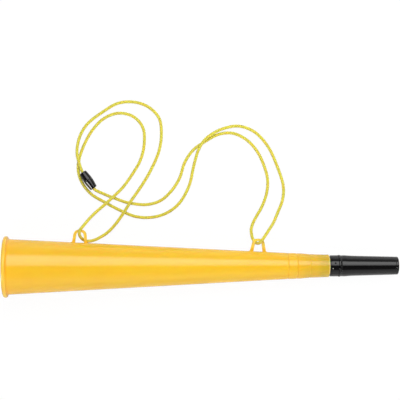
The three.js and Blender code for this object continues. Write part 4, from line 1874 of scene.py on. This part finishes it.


# The neck cord: its stretches in order, in metres. The last one ends at the plug half.

CORD_ROUTES: dict[str, list[Point]] = {
    # from the connector's socket half, round the outer bend, to the left lug's leg
    "cord_left": [
        (-0.11556, 0.08637, 0.0045), (-0.1171, 0.0887, 0.0045), (-0.1198, 0.0965, 0.005),
        (-0.1219, 0.1054, 0.005), (-0.1217, 0.1144, 0.0028), (-0.1187, 0.1251, 0.0016),
        (-0.112, 0.1354, 0.0016), (-0.0973, 0.1469, 0.0016), (-0.0821, 0.1555, 0.0016),
        (-0.0661, 0.1566, 0.0016), (-0.0519, 0.1515, 0.0016), (-0.042, 0.1409, 0.0016),
        (-0.0397, 0.1268, 0.0016), (-0.0418, 0.1097, 0.0016), (-0.0496, 0.0909, 0.0016),
        (-0.0595, 0.074, 0.0028), (-0.0688, 0.0605, 0.0051), (-0.0762, 0.0486, 0.0053),
        (-0.0842, 0.0373, 0.0068), (-0.092, 0.029, 0.01), (-0.1021, 0.0228, 0.0155),
        (-0.1046, 0.0219, 0.0169),
    ],
    # up through the left lug, over its crown and round the inner bend, to under the crossing
    "cord_loop": [
        (-0.10486, 0.02183, 0.01704), (-0.107, 0.02125, 0.01819), (-0.1117, 0.0214, 0.0204),
        (-0.115, 0.0234, 0.023), (-0.1168, 0.026, 0.0256), (-0.1173, 0.0287, 0.028),
        (-0.1167, 0.0318, 0.0291), (-0.1145, 0.0347, 0.0289), (-0.1121, 0.0378, 0.0269),
        (-0.1076, 0.0435, 0.022), (-0.1017, 0.0498, 0.015), (-0.0948, 0.0561, 0.0092),
        (-0.087, 0.0635, 0.0054), (-0.0776, 0.0729, 0.0028), (-0.0691, 0.0846, 0.0016),
        (-0.0602, 0.1, 0.0016), (-0.0565, 0.1161, 0.0016), (-0.058, 0.132, 0.0016),
        (-0.0677, 0.1427, 0.0016), (-0.0824, 0.1457, 0.0016), (-0.0962, 0.1404, 0.0016),
        (-0.1072, 0.1292, 0.0016), (-0.115, 0.1155, 0.0016), (-0.11965, 0.1032, 0.0016),
        (-0.12042, 0.09925, 0.0016),
    ],
    # past the connector, across to the outer bend on the right, and into the right lug
    "cord_span": [
        (-0.12048, 0.09895, 0.0016), (-0.12131, 0.0947, 0.0016), (-0.1202, 0.0846, 0.0016),
        (-0.1159, 0.0752, 0.0016), (-0.1081, 0.0663, 0.0016), (-0.0952, 0.0586, 0.0016),
        (-0.08, 0.0506, 0.0016), (-0.0649, 0.0446, 0.0016), (-0.0494, 0.0438, 0.0016),
        (-0.0351, 0.0478, 0.0016), (-0.0225, 0.0573, 0.0016), (-0.0126, 0.0747, 0.0016),
        (-0.0078, 0.0951, 0.0018), (-0.0034, 0.1096, 0.0043), (0.0022, 0.1189, 0.005),
        (0.0105, 0.1256, 0.0048), (0.0214, 0.1307, 0.0039), (0.0359, 0.1331, 0.0017),
        (0.0513, 0.1275, 0.0016), (0.0646, 0.1132, 0.0016), (0.0738, 0.0934, 0.0016),
        (0.0797, 0.074, 0.0016), (0.0789, 0.0609, 0.0019), (0.0741, 0.0489, 0.0054),
        (0.0694, 0.0388, 0.0112), (0.0654, 0.0328, 0.0164), (0.0626, 0.0289, 0.0194),
        (0.0601, 0.0253, 0.021), (0.0579, 0.0221, 0.0208), (0.056, 0.0198, 0.0189),
        (0.0542, 0.0189, 0.0161), (0.0522, 0.0194, 0.0134), (0.05038, 0.0211, 0.0113),
        (0.04996, 0.02198, 0.01081),
    ],
    # down from the right lug, round the inner bend and back to under the other strand
    "cord_right": [
        (0.04984, 0.02222, 0.01067), (0.0492, 0.02355, 0.00993), (0.0483, 0.0274, 0.0083),
        (0.048, 0.0324, 0.0064), (0.05, 0.0385, 0.004), (0.0535, 0.0451, 0.0021),
        (0.0582, 0.0533, 0.0016), (0.063, 0.066, 0.0016), (0.0643, 0.0804, 0.0016),
        (0.0606, 0.0948, 0.0016), (0.0538, 0.1087, 0.0016), (0.0434, 0.1199, 0.0016),
        (0.0301, 0.1261, 0.0016), (0.0164, 0.125, 0.0016), (0.0034, 0.1182, 0.0016),
        (-0.0083, 0.1099, 0.0016), (-0.0167, 0.0979, 0.0016), (-0.022, 0.082, 0.0016),
        (-0.0301, 0.0695, 0.0016), (-0.0407, 0.0601, 0.0016), (-0.0539, 0.0563, 0.0016),
        (-0.06683, 0.05709, 0.0016), (-0.0706, 0.05782, 0.0016),
    ],
    # the last stretch, at the plug half
    "cord_tail": [
        (-0.0709, 0.05788, 0.0016), (-0.07467, 0.05861, 0.0016), (-0.0839, 0.0619, 0.0016),
        (-0.0919, 0.0649, 0.0017), (-0.0978, 0.0675, 0.0025), (-0.1019, 0.0693, 0.0036),
        (-0.10488, 0.07114, 0.00445), (-0.10664, 0.07363, 0.0045),
    ],
}


def smooth_route(points: Sequence[Point], floor: float) -> list[Vector]:
    """Centripetal Catmull-Rom curve through the points of a route.

    Args:
        points: The route.
        floor: The lowest that the middle of the cord may lie.

    Returns:
        Points close together on the curve.
    """
    given = [Vector(point) for point in points]
    given = [2 * given[0] - given[1], *given, 2 * given[-1] - given[-2]]
    curve = []
    for before, start, stop, after in zip(given, given[1:], given[2:], given[3:]):
        spans = [math.sqrt((b - a).length) for a, b in ((before, start), (start, stop), (stop, after))]
        run = (stop - start) / spans[1]
        leave = (start - before) / spans[0] - (stop - before) / (spans[0] + spans[1]) + run
        arrive = run - (after - start) / (spans[1] + spans[2]) + (after - stop) / spans[2]
        leave, arrive = leave * spans[1], arrive * spans[1]
        square = -3 * start + 3 * stop - 2 * leave - arrive
        cube = 2 * start - 2 * stop + leave + arrive
        for share in (step / ROUTE_STEPS for step in range(ROUTE_STEPS)):
            curve.append(start + leave * share + square * share**2 + cube * share**3)
    curve.append(given[-2])
    return [Vector((p.x, p.y, max(p.z, floor))) for p in curve]


@dataclass
class NeckCord:
    """The braided neck cord: one long cord through both lugs, and the last stretch at the plug half.

    Attributes:
        braid: The way it is plaited.
        diameter: Over the strands.
        sunk_share: Share of the strands' height that lies inside the diameter.
        step: Length between two rings of its mesh.
        sides: Facets round it.
        lift: Of the cord over the table.
    """

    braid: Braid
    diameter: float = 3.0
    sunk_share: float = 0.6
    step: float = 0.4
    sides: int = 24
    lift: float = 0.05

    def tree(self) -> bpy.types.NodeTree:
        """Builds the tree that sweeps the cord along a route and raises its strands.

        Returns:
            The tree, with an input for each size.
        """
        tree = bpy.data.node_groups.new("braided cord", "GeometryNodeTree")
        kinds = {"Route": "Geometry", "Radius": "Float", "Step": "Float", "Pitch": "Float", "Relief": "Float"}
        kinds |= {"Sides": "Int", "Strands": "Int", "Finish": "Material"}
        for name, kind in kinds.items():
            tree.interface.new_socket(name, in_out="INPUT", socket_type="NodeSocket" + kind)
        tree.interface.new_socket("Cord", in_out="OUTPUT", socket_type="NodeSocketGeometry")
        bench = NodeBench(tree)
        route = bench.node("NodeGroupInput", output="Route")
        sizes = (route.sibling(name) for name in list(kinds)[1:])
        radius, step, pitch, relief, sides, strands, finish = sizes
        spine = bench.node("GeometryNodeResampleCurve", {"mode": "LENGTH"}, {"Curve": route, "Length": step})
        along = bench.node("GeometryNodeSplineParameter", output="Length")
        spine = self._stored(bench, spine, "FLOAT", "along", along)
        ring = {"Resolution": sides, "Radius": radius}
        section = bench.node("GeometryNodeCurvePrimitiveCircle", {"mode": "RADIUS"}, ring)
        around = bench.node("GeometryNodeSplineParameter", output="Factor")
        section = self._stored(bench, section, "FLOAT", "around", around)
        sweep = {"Curve": spine, "Profile Curve": section, "Fill Caps": True}
        tube = bench.node("GeometryNodeCurveToMesh", values=sweep)
        turn, along = (
            bench.node("GeometryNodeInputNamedAttribute", {"data_type": "FLOAT"}, {"Name": name}, "Attribute")
            for name in ("around", "along")
        )
        crown = self.braid.crown(turn * strands + along / pitch, turn * strands - along / pitch)
        outwards = bench.node("GeometryNodeInputNormal", output="Normal")
        raising = {"Vector": outwards, "Scale": crown * relief}
        offset = bench.node("ShaderNodeVectorMath", {"operation": "SCALE"}, raising)
        raised = bench.node("GeometryNodeSetPosition", values={"Geometry": tube, "Offset": offset})
        angle = turn * (2 * math.pi)
        place = {"X": bench.math("COSINE", angle), "Y": bench.math("SINE", angle), "Z": along / MM}
        lay = bench.node("ShaderNodeCombineXYZ", values=place)
        marked = self._stored(bench, raised, "FLOAT_VECTOR", "lay", lay)
        real = bench.node("GeometryNodeRealizeInstances", values={"Geometry": marked})
        finished = bench.node("GeometryNodeSetMaterial", values={"Geometry": real, "Material": finish})
        bench.end_in("NodeGroupOutput", finished)
        return tree

    @staticmethod
    def _stored(bench: NodeBench, geometry: Signal, kind: str, name: str, value: Signal) -> Signal:
        """Stores a value on the points of a geometry under a name."""
        values = {"Geometry": geometry, "Name": name, "Value": value}
        return bench.node("GeometryNodeStoreNamedAttribute", {"data_type": kind, "domain": "POINT"}, values)

    def swept(
        self, name: str, curve: Sequence[Vector], tree: bpy.types.NodeTree, material: bpy.types.Material
    ) -> bpy.types.Object:
        """Sweeps a cord along a curve.

        Args:
            name: The object's name.
            curve: Points close together.
            tree: The tree that makes the cord.
            material: Its finish.

        Returns:
            The cord as a plain mesh object.
        """
        data = bpy.data.curves.new(name + "_route", "CURVE")
        data.dimensions = "3D"
        spline = data.splines.new("POLY")
        spline.points.add(len(curve) - 1)
        for point, place in zip(spline.points, curve):
            point.co = (*place, 1.0)
        route = placed(name + "_route", data)
        modifier = route.modifiers.new("braid", "NODES")
        modifier.node_group = tree
        sizes = {
            "Radius": (self.diameter / 2 - self.braid.relief * self.sunk_share) * MM,
            "Step": self.step * MM,
            "Pitch": self.braid.pitch * MM,
            "Relief": self.braid.relief * MM,
            "Sides": self.sides,
            "Strands": self.braid.strands,
            "Finish": material,
        }
        for socket in tree.interface.items_tree:
            if socket.name in sizes:
                modifier[socket.identifier] = sizes[socket.name]
        route.update_tag()
        graph = bpy.context.evaluated_depsgraph_get()
        mesh = bpy.data.meshes.new_from_object(
            route.evaluated_get(graph), preserve_all_data_layers=True, depsgraph=graph
        )
        bpy.data.objects.remove(route)
        bm = bmesh.new()
        bm.from_mesh(mesh)
        bmesh.ops.recalc_face_normals(bm, faces=bm.faces)
        bm.to_mesh(mesh)
        bm.free()
        mesh.shade_smooth()
        mesh.name = name
        return placed(name, mesh)

    def build(self, finish: Finish, ends: dict[Body, list[bpy.types.Object]]) -> None:
        """Args:
            finish: Its yarn.
            ends: The connector's pieces on each body; not used.
        """
        floor = (self.diameter / 2 + self.lift) * MM
        *parts, tail = CORD_ROUTES
        main_points = [point for part in parts for point in CORD_ROUTES[part][:-1]]
        main_points.append(CORD_ROUTES[parts[-1]][-1])
        tail_points = [main_points[-1], *CORD_ROUTES[tail]]
        tree, material = self.tree(), finish.material()
        for name, points in (("neck_cord", main_points), ("neck_cord_tail", tail_points)):
            lead = points is main_points
            curve = smooth_route(points, floor)
            item = self.swept(name, curve, tree, material)
            if lead:
                seat(item, Body.HORN, Slot.CORD, *parts)
            else:
                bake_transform(item)
                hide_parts(tail)


def main() -> None:
    """Builds the studio and every piece, in order."""
    logging.basicConfig(level=logging.INFO, format="%(message)s")
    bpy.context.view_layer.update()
    Studio().set_up()
    braid = Braid()
    black = BlackPlastic("gloss black plastic")
    melted = ReedPlastic("melted cord end", (0.62, 0.53, 0.06), (0.30, 0.24, 0.03), drawn=1.0, roughness=0.5)
    NeckCord(braid).build(BraidedYarn("braided yellow yarn", braid), Connector().build(black, melted))
    horn = Horn()
    mouthpiece = Mouthpiece(horn)
    axis = HornAxis.from_frame(horn.length())
    horn.build(axis, horn.plastic("glossy yellow plastic", axis, mouthpiece.rear_spigot))
    mouthpiece.build(axis, mouthpiece.plastic("gloss black mouthpiece", axis))
    Reed(mouthpiece).build(
        axis,
        ReedPlastic("ivory reed plastic", (0.80, 0.77, 0.68), (0.62, 0.58, 0.48), drawn=1.0, roughness=0.42),
        ReedPlastic("reed tongue sheet", (0.70, 0.66, 0.55), (0.56, 0.52, 0.42), drawn=8.0, roughness=0.36),
        black,
    )


if __name__ == "__main__":
    main()
